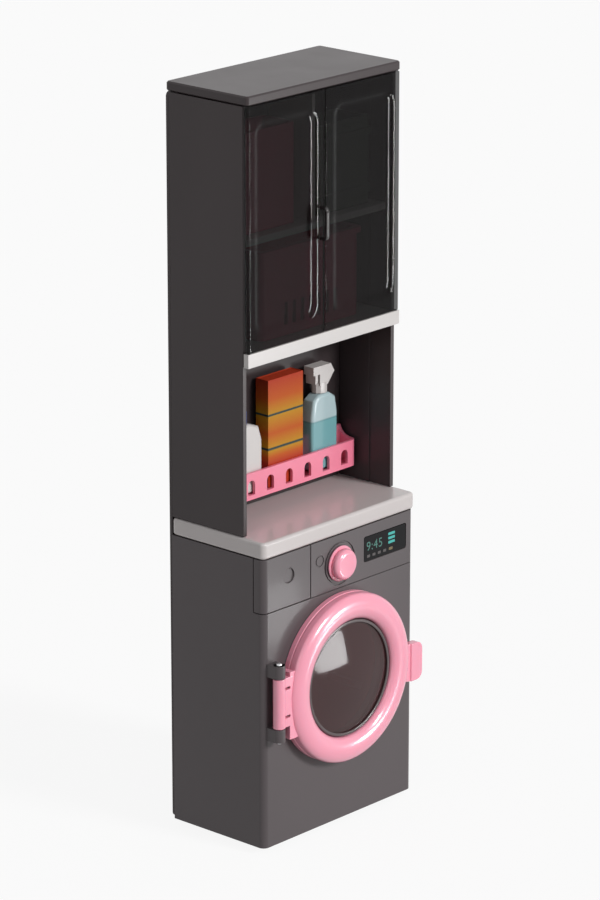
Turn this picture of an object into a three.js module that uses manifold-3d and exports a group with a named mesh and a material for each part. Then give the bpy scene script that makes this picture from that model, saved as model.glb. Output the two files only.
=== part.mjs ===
// Toy laundry tower: a play washing machine with a drum that its knob turns, an open
// alcove with a rack of washing supplies above it, and a cupboard with two doors on top.
//
// Millimetres. X runs to the right seen from the front, Y to the back and Z up.
// The origin is under the middle of the tower, on the surface that it stands on.
import * as THREE from "three";
import { mergeVertices } from "three/addons/utils/BufferGeometryUtils.js";
import Module from "manifold-3d";

const wasm = await Module();
wasm.setup();

// Driving sizes
const depth = 62; // from the washing machine's door to the back cover
const seam = 0.3; // between pieces that touch
const flush = 0.1; // by which a fitted face lies behind the one round it
const running = 0.35; // round a shaft or pin that turns
const hexFit = 0.42; // round a six-sided shaft in its bore
const overrun = 1; // of a cutter past the face that it cuts

const door = {
  ringRadius: 36.5, ringWidth: 10.9, floorGap: 31, knobGap: 5.1, thickness: 8.2, standOff: 0.6,
  crown: 3.4, crownSteps: 8, pocketDepth: 3.8, outerWall: 3.2, lensSeat: 2.4, lens: 1.2,
  dome: 1.6, domeSteps: 4,
  bezelWidth: 2.2, bezel: 0.6,
};
const hinge = {
  axisInset: 5.5, axisDepth: 4.4, radius: 2.6, pin: 1.25, leafHeight: 21.6, leaf: 3.6,
  lugHeight: 5.6, pinEnd: 1, slitLength: 3.6, slitHeight: 1.2, slitInset: 4.6,
  padProud: 0.6, padRoot: 6.5, padFront: 2.8, padRise: 12.5, padDrop: 17,
};
const latch = {
  drop: 4, height: 16.8, reach: 9.5, thickness: 3.6, corner: 3.4, root: 3,
  prongInset: 4.5, prongWidth: 2, prongHeight: 5, prongReach: 6, slotClearance: 0.9,
};
const washer = {
  besideDoor: 10.1, slab: 7.2, slabCorner: 2.4, slabEdge: 0.8, slabLead: 0.5, slabOver: 0.4,
  wall: 2, corner: 2.8, panelReturn: 5.5, panelBelowKnob: 10.9, panelAboveKnob: 12.3,
  panelLeftOfKnob: 8.2, mouthLip: 2.4, bossRadius: 3, bossInset: 3.8, bossRise: 11, bossLength: 10,
};
const base = { thickness: 2 };
const foot = { height: 3, radius: 4.5, pegRadius: 2, inset: 9 };
const seal = { lip: 0.8, flangeWidth: 2.5, flange: 1.2 };
const drum = {
  overSeal: 0.5, mouthLip: 0.6, wall: 1.4, corner: 7, cornerSteps: 4, gapToSeal: 0.9,
  spigotRadius: 6, lifterWidth: 4, lifterHeight: 3.4, lifterInset: 5.5, lifters: 3,
};
const axle = { radius: 2, headRadius: 4.4, head: 1.4, rivetRadius: 3.2, rivet: 1.2 };
const gears = {
  drumTeeth: 42, idlerTeeth: 12, knobTeeth: 16, width: 4, gapToDrum: 2.2,
  backlash: 0.34, pressureAngle: 25, addendumShare: 0.84, dedendumShare: 1.2,
  webHoles: 5, webHub: 4.8, webRim: 3.76,
};
const gearPlate = {
  besideGear: 0.8, belowDrum: 23.5, aboveKnob: 8.8, thickness: 2, corner: 4, gapToGears: 0.8,
  postInset: 5, postRadius: 3.4, post: 7.9, lowPostDrop: 15.5, highPostRise: 1.3,
};
const knob = {
  flangeRadius: 7.6, flange: 0.9, radius: 6.6, noseRadius: 6.5, reach: 4.1, nose: 1.4,
  hubRadius: 4.2, hubReach: 1.5, ringGroove: 0.5, ringWidth: 0.9, ringRadius: 9.6,
  wallAhead: 1.6,
};
const knobShaft = { radius: 2.5, collarRadius: 3.8, collar: 0.9, journalRadius: 1.7 };
const display = { fromKnob: 5.8, fromEdge: 5, belowKnob: 3.5, aboveKnob: 7.1, depth: 1.2, corner: 1 };
const drawer = {
  left: 2, right: 2.4, floorRise: 2.6, rimDrop: 7, backGap: 13.4, wall: 1.2, frontWellShare: 0.3,
  dimpleInset: 15.6, dimpleRise: 13.2, dimpleRadius: 3.2, dimpleDepth: 0.8,
};
const runner = { thickness: 1.2, cheek: 1.2, height: 10, backGap: 8.4 };
const button = { fromKnob: 2.8, aboveKnob: 3.8, radius: 2.6, depth: 0.4, ridge: 0.6 };

const cabinet = {
  inset: 0.4, setback: 20, wall: 2, step: 0.5, stepSetback: 11.4, backBossX: 4.8, bossRadius: 3,
  lowBossRise: 15.5, highBossDrop: 14,
};
const alcove = { height: 72, behind: 14, backing: 1.6 };
const compartments = { lower: 42.7, upper: 56 };
const strip = {
  height: 5.8, floor: 2, proud: 2.9, lip: 2.6, pegRadius: 1.2, pegReach: 1.6,
  frontPegInset: 7, backPegInset: 6, pegDrop: 1.4,
};
const cap = { thickness: 4, edge: 0.6, corner: 1.5, skirtDrop: 3, skirtWall: 1.4, skirtSetback: 3 };
const shelf = { thickness: 3, setback: 2.5, ledge: 1.5, ledgeSetback: 6, ledgeBackInset: 3 };
const divider = { thickness: 1.8, inset: 1 };
const cupboardDoor = {
  thickness: 1.8, meeting: 0.25, pivotInset: 1.4, pivotSetback: 1.3, barrelRadius: 1.3,
  pegRadius: 0.75, pegClearance: 0.25, pegLength: 1.7,
  bandWidth: 3.8, bandProud: 0.7, bandCorner: 5, bandFromMeeting: 4.9, bandFromHinge: 4.1,
  bandFromEnds: 7,
};
const handle = {
  fromMeeting: 3.15, width: 1.8, rise: 39.7, height: 14.2, reach: 4.8, bar: 1.4, corner: 2.2,
  pegRadius: 0.6, pegLength: 1.2,
};
const rack = {
  sideGap: 1.1, lift: 7, frontHeight: 11.5, rise: 4.6, depth: 11, wall: 1.4,
  backWall: 1.2, floor: 1.5, corner: 3.2, slots: 7, slotFromEnd: 8.1, slotWidth: 4.2,
  slotHeight: 6.4, slotBottom: 1.9, riseStart: 2.6, pegRadius: 1.4, pegInset: 12.6, pegRise: 11.5,
};
const supplies = { frontGap: 0.6, depth: 7, floorGap: 0.3 };
const powderBox = { halfWidth: 10.7, height: 46.2, edge: 0.5, flap: 1.2 };
const softener = {
  fromEnd: 5.2, fromBox: 3.3, height: 30, shoulder: 8, neckRadius: 2.4, neck: 3.6,
  capRadius: 3.4, capHeight: 6, edge: 0.9, bodyCorner: 2,
};
const spray = {
  fromEnd: 8.6, fromBox: 5.9, height: 33, shoulder: 9, neckRadius: 2.2, neck: 3.4, edge: 0.9,
  bodyCorner: 1.6, headWidth: 13, headHeight: 8.6, headDepth: 5.4, nozzleDrop: 3.6, slope: 2.2,
  triggerWidth: 1.5, triggerDrop: 4, triggerSetback: 1.2, triggerSlope: 1,
  stemWidth: 4.8, skirtHeight: 3.4, skirtRadius: 3.3,
};
const basket = {
  fromWall: 13.7, setback: 5, backGap: 3, headroom: 4.9, wall: 1.4, corner: 3, rim: 1.2,
  rimHeight: 2.4, slots: 7, slotPitch: 5, slotWidth: 2.2, slotBottom: 4.5, slotHeight: 9.5,
};
const bin = {
  fromDivider: 6.1, fromWall: 5.7, setback: 7, backGap: 3, headroom: 13.7, wall: 1.4, corner: 2,
};
const crate = {
  fromDivider: 6.1, fromWall: 5.7, setback: 7, backGap: 3, headroom: 18.7, wall: 1.4,
  corner: 1.2, band: 0.8, bandHeight: 3, bandInset: 5,
};
const backCover = { thickness: 1.6, corner: 2 };
const screw = { headRadius: 2.6, head: 0.8, shankRadius: 1.1, length: 6.5, clearance: 0.3 };

// Facets round a full circle
const facets = { ring: 36, drum: 28, lens: 28, medium: 20, small: 10, screw: 8, hexagon: 6 };

// Radii and widths worked out from the sizes
const doorMouth = door.ringRadius - door.ringWidth;
const washerMouth = doorMouth + washer.mouthLip;
const sealRadius = doorMouth + seal.lip;
const sealFlangeRadius = washerMouth + seal.flangeWidth;
const drumRadius = sealFlangeRadius + drum.overSeal;
const drumMouth = sealRadius + drum.mouthLip;
const washerWidth = 2 * (door.ringRadius + washer.besideDoor);
const slabWidth = washerWidth + 2 * washer.slabOver;
const cabinetWidth = washerWidth - 2 * cabinet.inset;
const innerWallX = cabinetWidth / 2 - cabinet.wall - cabinet.step;
const pivotX = cabinetWidth / 2 - flush - cupboardDoor.pivotInset;
const hingeX = -(door.ringRadius + hinge.axisInset);
const prongX = door.ringRadius + latch.prongInset;
const drawerSeamX = -(knob.ringRadius + washer.panelLeftOfKnob);
const dimpleX = drawer.dimpleInset - washerWidth / 2;
const buttonX = -(knob.ringRadius + button.fromKnob);
const displayX = [knob.ringRadius + display.fromKnob, washerWidth / 2 - display.fromEdge];
const handleX = -(cupboardDoor.meeting + handle.fromMeeting);
const rackHalf = innerWallX - rack.sideGap;
const softenerHalf =
  (rackHalf - rack.wall - softener.fromEnd - softener.fromBox - powderBox.halfWidth) / 2;
const softenerX = -(powderBox.halfWidth + softener.fromBox + softenerHalf);
const sprayHalf = (rackHalf - rack.wall - spray.fromEnd - spray.fromBox - powderBox.halfWidth) / 2;
const sprayX = powderBox.halfWidth + spray.fromBox + sprayHalf;

// The gears reach from the drum's middle to the knob, which stands clear of the door
const gearReach = door.ringRadius + door.knobGap + knob.flangeRadius;
const gearModule = gearReach / (gears.drumTeeth / 2 + gears.idlerTeeth + gears.knobTeeth / 2);
const pitchRadius = (teeth) => (teeth * gearModule) / 2;
const drumGearRoot = pitchRadius(gears.drumTeeth) - gearModule * gears.dedendumShare;
const webHoleRadius = (drumGearRoot - gears.webRim - drum.spigotRadius - gears.webHub) / 2;
const webHolePitch = drum.spigotRadius + gears.webHub + webHoleRadius;
const gearPlateHalf = pitchRadius(gears.drumTeeth) + gearPlate.besideGear;
const postX = gearPlateHalf - gearPlate.postInset;

// Heights worked out from the sizes
const doorZ = door.floorGap + door.ringRadius;
const latchZ = doorZ - latch.drop;
const idlerZ = doorZ + pitchRadius(gears.drumTeeth + gears.idlerTeeth);
const knobZ = doorZ + gearReach;
const panelBottom = knobZ - washer.panelBelowKnob;
const shellTop = knobZ + washer.panelAboveKnob;
const washerTopZ = shellTop + seam + washer.slab;
const washerBossZ = foot.height + washer.bossRise;
const lowPostZ = doorZ - gearPlate.lowPostDrop;
const highPostZ = knobZ + gearPlate.highPostRise;
const displayZ = [knobZ - display.belowKnob, knobZ + display.aboveKnob];
const drawerFloorZ = panelBottom + drawer.floorRise;
const drawerRimZ = shellTop - drawer.rimDrop;
const wallBottom = washerTopZ + seam;
const rackBottom = washerTopZ + rack.lift;
const rackPegZ = rackBottom + rack.pegRise;
const stripBottom = washerTopZ + alcove.height;
const stripTop = stripBottom + strip.height;
const doorBottom = stripTop + seam;
const handleBottom = stripTop + handle.rise;
const shelfZ = stripTop + compartments.lower;
const shelfTop = shelfZ + shelf.thickness;
const capZ = shelfTop + compartments.upper;
const wallTop = capZ - seam;
const towerTop = capZ + cap.thickness;
const lowBossZ = washerTopZ + cabinet.lowBossRise;
const highBossZ = capZ - cabinet.highBossDrop;

// Planes from the front to the back worked out from the sizes
const frontY = -depth / 2;
const backY = depth / 2;
const doorBackY = frontY + door.thickness;
const pocketY = doorBackY - door.pocketDepth;
const faceY = doorBackY + door.standOff;
const hingeY = faceY - hinge.axisDepth;
const coverY = backY - backCover.thickness;
const innerBackY = coverY - seam;
const plateBackY = innerBackY - gearPlate.post;
const plateFrontY = plateBackY - gearPlate.thickness;
const gearBackY = plateFrontY - gearPlate.gapToGears;
const gearFrontY = gearBackY - gears.width;
const sealBackY = faceY + washer.wall + seam + seal.flange;
const drumFrontY = sealBackY + drum.gapToSeal;
const drumBackY = gearFrontY - gears.gapToDrum;
const drawerBackY = plateFrontY - drawer.backGap;
const runnerBackY = plateFrontY - runner.backGap;
const cabinetFrontY = frontY + cabinet.setback;
const stripFrontY = cabinetFrontY - strip.proud;
const pivotY = stripFrontY + cupboardDoor.pivotSetback;
const alcoveBackY = backY - alcove.behind;
const rackBackY = alcoveBackY - seam;
const rackFrontY = alcoveBackY - rack.depth;
const shelfFrontY = cabinetFrontY + shelf.setback;
const stripPegY = [cabinetFrontY + strip.frontPegInset, alcoveBackY - strip.backPegInset];

// Finishes
const finish = (color, roughness, opacity = 1) =>
  new THREE.MeshStandardMaterial({
    color, roughness, opacity, transparent: opacity < 1, metalness: 0, flatShading: true,
  });
const steel = new THREE.MeshStandardMaterial({ color: 0xb8babd, roughness: 0.35, metalness: 1 });
const finishes = {
  grey: () => finish(0x8e8b8f, 0.42),
  white: () => finish(0xeceae6, 0.3),
  black: () => finish(0x2a2727, 0.4),
  pink: () => finish(0xf587ad, 0.32),
  rose: () => finish(0xd92961, 0.32),
  red: () => finish(0xd2234c, 0.35),
  palePink: () => finish(0xf7a3c0, 0.35),
  smoke: () => finish(0x2b2324, 0.12, 0.55),
  darkGlass: () => finish(0x141213, 0.1, 0.75),
  rubber: () => finish(0x565558, 0.7),
  natural: () => finish(0xe6e2d6, 0.45),
  orange: () => finish(0xf08a24, 0.5),
  turquoise: () => finish(0x7fc8c4, 0.25, 0.8),
  blue: () => finish(0x3f6fc0, 0.35),
  green: () => finish(0x35603c, 0.5),
  steel: () => steel.clone(),
};

// A closed solid from a geometry, its vertices shared and its pole triangles dropped
function solid(geometry) {
  geometry.deleteAttribute("normal");
  geometry.deleteAttribute("uv");
  const welded = mergeVertices(geometry);
  const corners = welded.index.array;
  const triVerts = [];
  for (let i = 0; i < corners.length; i += 3) {
    const [a, b, c] = corners.slice(i, i + 3);
    if (a !== b && b !== c && c !== a) triVerts.push(a, b, c);
  }
  return new wasm.Manifold(
    new wasm.Mesh({
      numProp: 3,
      vertProperties: welded.attributes.position.array,
      triVerts: Uint32Array.from(triVerts),
    }),
  );
}

const join = (first, ...rest) => rest.reduce((whole, piece) => whole.add(piece), first);
const cut = (first, ...rest) => rest.reduce((whole, piece) => whole.subtract(piece), first);

// A named mesh from a solid
function node(name, made, material, at = [0, 0, 0]) {
  const data = made.getMesh();
  const geometry = new THREE.BufferGeometry();
  geometry.setAttribute("position", new THREE.BufferAttribute(data.vertProperties, 3));
  geometry.setIndex(new THREE.BufferAttribute(data.triVerts, 1));
  const mesh = new THREE.Mesh(geometry, material);
  mesh.name = name;
  mesh.position.set(...at);
  return mesh;
}

function assembly(...members) {
  const group = new THREE.Group();
  group.add(...members);
  return group;
}

// A block between two corners
function block([x0, x1], [y0, y1], [z0, z1]) {
  const geometry = new THREE.BoxGeometry(x1 - x0, y1 - y0, z1 - z0);
  return solid(geometry.translate((x0 + x1) / 2, (y0 + y1) / 2, (z0 + z1) / 2));
}

// A round bar along Y, or along Z
function barY(radius, [y0, y1], x = 0, z = 0, sides = facets.small) {
  const geometry = new THREE.CylinderGeometry(radius, radius, y1 - y0, sides);
  return solid(geometry.translate(x, (y0 + y1) / 2, z));
}

function barZ(radius, [z0, z1], x = 0, y = 0, sides = facets.small) {
  const geometry = new THREE.CylinderGeometry(radius, radius, z1 - z0, sides);
  return solid(geometry.rotateX(Math.PI / 2).translate(x, y, (z0 + z1) / 2));
}

// A profile of [radius, height] points turned about the Y axis, or stood up about Z.
// The points may run either way round.
function turned(profile, sides) {
  const points = profile.map(([radius, along]) => new THREE.Vector2(radius, along));
  if (THREE.ShapeUtils.area(points) < 0) points.reverse();
  points.push(points[0].clone());
  return new THREE.LatheGeometry(points, sides);
}

const turnedY = (profile, sides) => solid(turned(profile, sides));
const turnedZ = (profile, sides, x, y) =>
  solid(turned(profile, sides).rotateX(Math.PI / 2).translate(x, y, 0));

// A round bar along X, from one end to the other on either side of the middle
function barX(radius, [x0, x1], y, z) {
  const geometry = new THREE.CylinderGeometry(radius, radius, Math.abs(x1 - x0), facets.screw);
  return solid(geometry.rotateZ(Math.PI / 2).translate((x0 + x1) / 2, y, z));
}

// Outlines
function roundedOutline([x0, x1], [y0, y1], radius) {
  const shape = new THREE.Shape();
  shape.moveTo(x0 + radius, y0);
  shape.lineTo(x1 - radius, y0);
  shape.absarc(x1 - radius, y0 + radius, radius, -Math.PI / 2, 0);
  shape.lineTo(x1, y1 - radius);
  shape.absarc(x1 - radius, y1 - radius, radius, 0, Math.PI / 2);
  shape.lineTo(x0 + radius, y1);
  shape.absarc(x0 + radius, y1 - radius, radius, Math.PI / 2, Math.PI);
  shape.lineTo(x0, y0 + radius);
  shape.absarc(x0 + radius, y0 + radius, radius, Math.PI, Math.PI * 1.5);
  return shape;
}

function polygon(points) {
  return new THREE.Shape(points.map(([x, y]) => new THREE.Vector2(x, y)));
}

// Outlines pushed into solids: a plan raised along Z, a front view given depth along Y,
// and a side view of [y, z] points given width along X. The edge is a bevel all round.
function pushed(shape, depth, edge = 0, steps = 3) {
  const options = { depth: depth - 2 * edge, curveSegments: steps, bevelEnabled: edge > 0 };
  Object.assign(options, { bevelThickness: edge, bevelSize: edge, bevelOffset: -edge });
  options.bevelSegments = 1;
  return new THREE.ExtrudeGeometry(shape, options).translate(0, 0, edge);
}

const raised = (shape, [z0, z1], edge = 0, steps = 3) =>
  solid(pushed(shape, z1 - z0, edge, steps).translate(0, 0, z0));
const facing = (shape, [y0, y1], edge = 0, steps = 3) =>
  solid(pushed(shape, y1 - y0, edge, steps).rotateX(Math.PI / 2).translate(0, y1, 0));
const sideways = new THREE.Matrix4().set(0, 0, 1, 0, 1, 0, 0, 0, 0, 1, 0, 0, 0, 0, 0, 1);
const across = (shape, [x0, x1], edge = 0, steps = 3) =>
  solid(pushed(shape, x1 - x0, edge, steps).applyMatrix4(sideways).translate(x0, 0, 0));

// Washing machine housing

// The plan of the front and both sides, with rounded front corners
function housingPlan() {
  const half = washerWidth / 2;
  const cornerY = faceY + washer.corner;
  const inner = washer.corner - washer.wall;
  const shape = new THREE.Shape();
  shape.moveTo(-half, innerBackY);
  shape.lineTo(-half, cornerY);
  shape.absarc(washer.corner - half, cornerY, washer.corner, Math.PI, Math.PI * 1.5);
  shape.absarc(half - washer.corner, cornerY, washer.corner, -Math.PI / 2, 0);
  shape.lineTo(half, innerBackY);
  shape.lineTo(half - washer.wall, innerBackY);
  shape.absarc(half - washer.corner, cornerY, inner, 0, -Math.PI / 2, true);
  shape.absarc(washer.corner - half, cornerY, inner, Math.PI * 1.5, Math.PI, true);
  shape.lineTo(washer.wall - half, innerBackY);
  return shape;
}

// Where the control panel and the drawer's front stand in for the shell
const panelY = [faceY - overrun, faceY + washer.panelReturn];
const acrossX = [-slabWidth / 2, slabWidth / 2];

// Lugs on the front that carry the door's hinge pin, above and below the leaf
function hingeLug(z0) {
  const z = [z0, z0 + hinge.lugHeight];
  const body = join(
    block([hingeX - hinge.radius, hingeX + hinge.radius], [hingeY, faceY + washer.wall / 2], z),
    barZ(hinge.radius, z, hingeX, hingeY),
  );
  const bore = [z0 - overrun, z0 + hinge.lugHeight + overrun];
  return cut(body, barZ(hinge.pin + seam, bore, hingeX, hingeY));
}

const leafZ = [doorZ - hinge.leafHeight / 2, doorZ + hinge.leafHeight / 2];
const lowLugZ = leafZ[0] - seam - hinge.lugHeight;
const highLugZ = leafZ[1] + seam;

// A boss that takes a back screw, from the back cover's inner face forwards
function backBoss(x, z, radius, length) {
  const y = [innerBackY - length, innerBackY];
  return [
    barY(radius, y, x, z),
    barY(screw.shankRadius + screw.clearance, [y[0] - overrun, y[1] + overrun], x, z, facets.screw),
  ];
}

function washerShell() {
  const half = washerWidth / 2;
  const throughFront = [faceY - overrun, faceY + washer.wall + overrun];
  const slotHalfWidth = latch.prongWidth / 2 + latch.slotClearance;
  const slotHalfHeight = latch.prongHeight / 2 + latch.slotClearance;
  let body = raised(housingPlan(), [foot.height, shellTop]);
  body = cut(
    body,
    block(acrossX, [panelY[0], panelY[1] + seam], [panelBottom - seam / 2, shellTop + overrun]),
    barY(washerMouth, throughFront, 0, doorZ, facets.ring),
    block(
      [prongX - slotHalfWidth, prongX + slotHalfWidth], throughFront,
      [latchZ - slotHalfHeight, latchZ + slotHalfHeight],
    ),
  );
  body = join(body, hingeLug(lowLugZ), hingeLug(highLugZ));
  for (const side of [-1, 1]) {
    const x = side * (half - washer.wall - washer.bossInset + washer.bossRadius / 2);
    const [boss, bore] = backBoss(x, washerBossZ, washer.bossRadius, washer.bossLength);
    body = cut(join(body, boss), bore);
  }
  return node("washer_shell", body, finishes.grey());
}

function controlPanel() {
  const z = [panelBottom + seam / 2, shellTop];
  const left = drawerSeamX + seam / 2;
  const zone = block([left, acrossX[1]], panelY, [z[0] - overrun, z[1] + overrun]);
  const groove = (radius) =>
    barY(radius, [faceY - overrun, faceY + knob.ringGroove], 0, knobZ, facets.medium);
  const buttonZ = knobZ + button.aboveKnob;
  const core = barY(
    knob.ringRadius - knob.ringWidth, [faceY - overrun, faceY + washer.wall], 0, knobZ,
    facets.medium,
  );
  const glass = roundedOutline(
    [displayX[0] - seam, displayX[1] + seam], [displayZ[0] - seam, displayZ[1] + seam],
    display.corner,
  );
  const body = cut(
    raised(housingPlan(), z).intersect(zone),
    cut(groove(knob.ringRadius), core),
    barY(
      knob.hubRadius + running, [faceY - overrun, faceY + washer.wall + overrun], 0, knobZ,
      facets.medium,
    ),
    facing(glass, [faceY - overrun, faceY + display.depth]),
    cut(
      barY(button.radius, [faceY - overrun, faceY + button.depth], buttonX, buttonZ),
      barY(button.radius - button.ridge, [faceY - overrun, faceY + washer.wall], buttonX, buttonZ),
    ),
  );
  return node("control_panel", body, finishes.grey());
}

function displayWindow() {
  const outline = roundedOutline(displayX, displayZ, display.corner);
  const y = [faceY + flush, faceY + display.depth - seam];
  return node("display_window", facing(outline, y), finishes.darkGlass());
}

function washerTop() {
  const plan = roundedOutline(
    [-slabWidth / 2, slabWidth / 2], [faceY - washer.slabLead, innerBackY], washer.slabCorner,
  );
  const body = raised(plan, [washerTopZ - washer.slab, washerTopZ], washer.slabEdge);
  return node("washer_top", body, finishes.white());
}

const footX = washerWidth / 2 - washer.wall - foot.inset;
const frontFootY = faceY + washer.wall + foot.inset;
const backFootY = innerBackY - foot.inset;
const footPlaces = [
  ["front_left", -footX, frontFootY], ["front_right", footX, frontFootY],
  ["back_left", -footX, backFootY], ["back_right", footX, backFootY],
];

function washerBase() {
  const half = washerWidth / 2 - washer.wall - seam;
  const z = [foot.height, foot.height + base.thickness];
  const holes = footPlaces.map(([, x, y]) =>
    barZ(foot.pegRadius + seam, [z[0] - overrun, z[1] + overrun], x, y),
  );
  const plan = roundedOutline(
    [-half, half], [faceY + washer.wall + seam, innerBackY], washer.corner,
  );
  return node("washer_base", cut(raised(plan, z), ...holes), finishes.grey());
}

const feet = () =>
  footPlaces.map(([where, x, y]) => {
    const body = join(
      barZ(foot.radius, [0, foot.height - seam], 0, 0),
      barZ(foot.pegRadius, [0, foot.height + base.thickness], 0, 0),
    );
    return node("foot_" + where, body, finishes.black(), [x, y, 0]);
  });

// Detergent drawer, its front a corner of the same housing plan
function detergentDrawer() {
  const z = [panelBottom + seam / 2, shellTop];
  const right = drawerSeamX - seam / 2;
  const zone = block([acrossX[0], right], panelY, [z[0] - overrun, z[1] + overrun]);
  const trayX = [drawer.left + washer.wall - washerWidth / 2, right - drawer.right];
  const trayY = [faceY + washer.wall / 2, drawerBackY];
  const inside = (from, to) => [from + drawer.wall, to - drawer.wall];
  const wellsFrontY = faceY + washer.wall;
  const ribY = wellsFrontY + (drawerBackY - wellsFrontY) * drawer.frontWellShare;
  const wellZ = [drawerFloorZ + drawer.wall, drawerRimZ + overrun];
  const front = raised(housingPlan(), z).intersect(zone);
  const body = cut(
    join(front, block(trayX, trayY, [drawerFloorZ, drawerRimZ])),
    block(inside(...trayX), [wellsFrontY, ribY], wellZ),
    block(inside(...trayX), [ribY + drawer.wall, trayY[1] - drawer.wall], wellZ),
    barY(
      drawer.dimpleRadius, [faceY - overrun, faceY + drawer.dimpleDepth],
      dimpleX, panelBottom + drawer.dimpleRise,
    ),
  );
  return node("detergent_drawer", body, finishes.grey());
}

function drawerRunner() {
  const x = [seam + washer.wall - washerWidth / 2, drawerSeamX - seam];
  const y = [faceY + washer.wall + seam, runnerBackY];
  const top = drawerFloorZ - seam;
  const body = join(
    block(x, y, [top - runner.thickness, top]),
    block([x[1] - runner.cheek, x[1]], y, [top - runner.thickness, top + runner.height]),
  );
  return node("drawer_runner", body, finishes.natural());
}

// Washing machine door, built round its own middle and placed at its height
function doorRing() {
  const { ringRadius, crown } = door;
  const steps = door.crownSteps;
  const middle = (ringRadius + doorMouth) / 2;
  const half = (ringRadius - doorMouth) / 2;
  const front = Array.from({ length: steps + 1 }, (_, i) => {
    const turn = Math.PI * (1 - i / steps);
    return [middle + half * Math.cos(turn), frontY + crown * (1 - Math.sin(turn))];
  });
  const profile = [
    ...front,
    [ringRadius, doorBackY],
    [ringRadius - door.outerWall, doorBackY],
    [ringRadius - door.outerWall, pocketY],
    [doorMouth, pocketY],
  ];
  const leafY = [hingeY - hinge.leaf / 2, hingeY + hinge.leaf / 2];
  const localLeaf = [-hinge.leafHeight / 2, hinge.leafHeight / 2];
  const tabZ = latchZ - doorZ;
  const tab = roundedOutline(
    [ringRadius - latch.root, ringRadius + latch.reach],
    [tabZ - latch.height / 2, tabZ + latch.height / 2],
    latch.corner,
  );
  const tabY = [hingeY - hinge.leaf / 2, hingeY - hinge.leaf / 2 + latch.thickness];
  const slit = (side) => {
    const z = side * (hinge.leafHeight / 2 - hinge.slitInset);
    return block(
      [hingeX + hinge.radius / 2, hingeX + hinge.radius / 2 + hinge.slitLength],
      [leafY[0] - overrun, leafY[1] + overrun],
      [z - hinge.slitHeight / 2, z + hinge.slitHeight / 2],
    );
  };
  const wallMiddle = ringRadius - door.outerWall / 2;
  const pad = cut(
    block(
      [-ringRadius - hinge.padProud, -ringRadius + hinge.padRoot],
      [frontY + hinge.padFront, doorBackY], [-hinge.padDrop, hinge.padRise],
    ),
    barY(wallMiddle, [pocketY, doorBackY + overrun], 0, 0, facets.ring),
  );
  const body = cut(
    join(
      turnedY(profile, facets.ring),
      pad,
      block([hingeX, -wallMiddle], leafY, localLeaf),
      barZ(hinge.radius, localLeaf, hingeX, hingeY),
      facing(tab, tabY, 0, 4),
      block(
        [prongX - latch.prongWidth / 2, prongX + latch.prongWidth / 2],
        [tabY[0] + latch.thickness / 2, tabY[1] + latch.prongReach],
        [tabZ - latch.prongHeight / 2, tabZ + latch.prongHeight / 2],
      ),
    ),
    barZ(hinge.pin + running, [localLeaf[0] - overrun, localLeaf[1] + overrun], hingeX, hingeY),
    slit(-1),
    slit(1),
  );
  return node("door_ring", body, finishes.pink());
}

const lensY = pocketY + seam;
const lensRadius = doorMouth + door.lensSeat;

function doorLens() {
  const flatRadius = doorMouth - seam - door.bezelWidth - seam;
  const rimY = lensY - door.lens + seam;
  const steps = door.domeSteps;
  const dome = (y) =>
    Array.from({ length: steps }, (_, i) => {
      const share = (i + 1) / steps;
      return [flatRadius * (1 - share), y - door.dome * Math.sin((share * Math.PI) / 2)];
    });
  const profile = [
    [lensRadius, lensY + door.lens],
    [lensRadius, lensY],
    [doorMouth - seam, lensY],
    [doorMouth - seam, rimY],
    [flatRadius, rimY],
    ...dome(rimY),
    ...dome(rimY + door.lens).reverse(),
    [flatRadius, rimY + door.lens],
    [doorMouth - door.bezelWidth, lensY + door.lens],
  ];
  return node("door_lens", turnedY(profile, facets.lens), finishes.smoke());
}

function lensBezel() {
  const outer = doorMouth - seam;
  const y = [lensY - door.lens - door.bezel, lensY - door.lens];
  const profile = [
    [outer, y[1]], [outer, y[0] + door.bezel / 2], [outer - door.bezel / 2, y[0]],
    [outer - door.bezelWidth, y[0]], [outer - door.bezelWidth, y[1]],
  ];
  return node("lens_bezel", turnedY(profile, facets.lens), finishes.rubber());
}

function lensRetainer() {
  const inner = doorMouth + seam;
  const outer = door.ringRadius - door.outerWall - seam;
  const backFaceY = doorBackY - seam;
  const seatY = lensY + door.lens + seam;
  const profile = [
    [inner, backFaceY], [outer, backFaceY], [outer, lensY],
    [lensRadius + seam, lensY], [lensRadius + seam, seatY], [inner, seatY],
  ];
  return node("lens_retainer", turnedY(profile, facets.lens), finishes.pink());
}

function hingePin() {
  const z = [lowLugZ - hinge.pinEnd, highLugZ + hinge.lugHeight + hinge.pinEnd];
  return node("hinge_pin", barZ(hinge.pin, z, hingeX, hingeY, facets.small), finishes.steel());
}

function doorSeal() {
  const sleeve = washerMouth - seam;
  const flangeY = faceY + washer.wall + seam;
  const profile = [
    [sealRadius, faceY], [sleeve, faceY], [sleeve, flangeY], [sealFlangeRadius, flangeY],
    [sealFlangeRadius, sealBackY], [sealRadius, sealBackY],
  ];
  return node("door_seal", turnedY(profile, facets.drum), finishes.rubber(), [0, 0, doorZ]);
}

// Drum and gears, each built round its own axis

// Half the angle that a tooth takes up at a radius, on involute flanks
function toothHalfAngle(teeth, radius) {
  const pitch = pitchRadius(teeth);
  const pressure = THREE.MathUtils.degToRad(gears.pressureAngle);
  const involute = (angle) => Math.tan(angle) - angle;
  const at = Math.acos(Math.min(1, (pitch * Math.cos(pressure)) / radius));
  const atPitch = ((Math.PI * gearModule) / 2 - gears.backlash) / (2 * pitch);
  return atPitch + involute(pressure) - involute(at);
}

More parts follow.
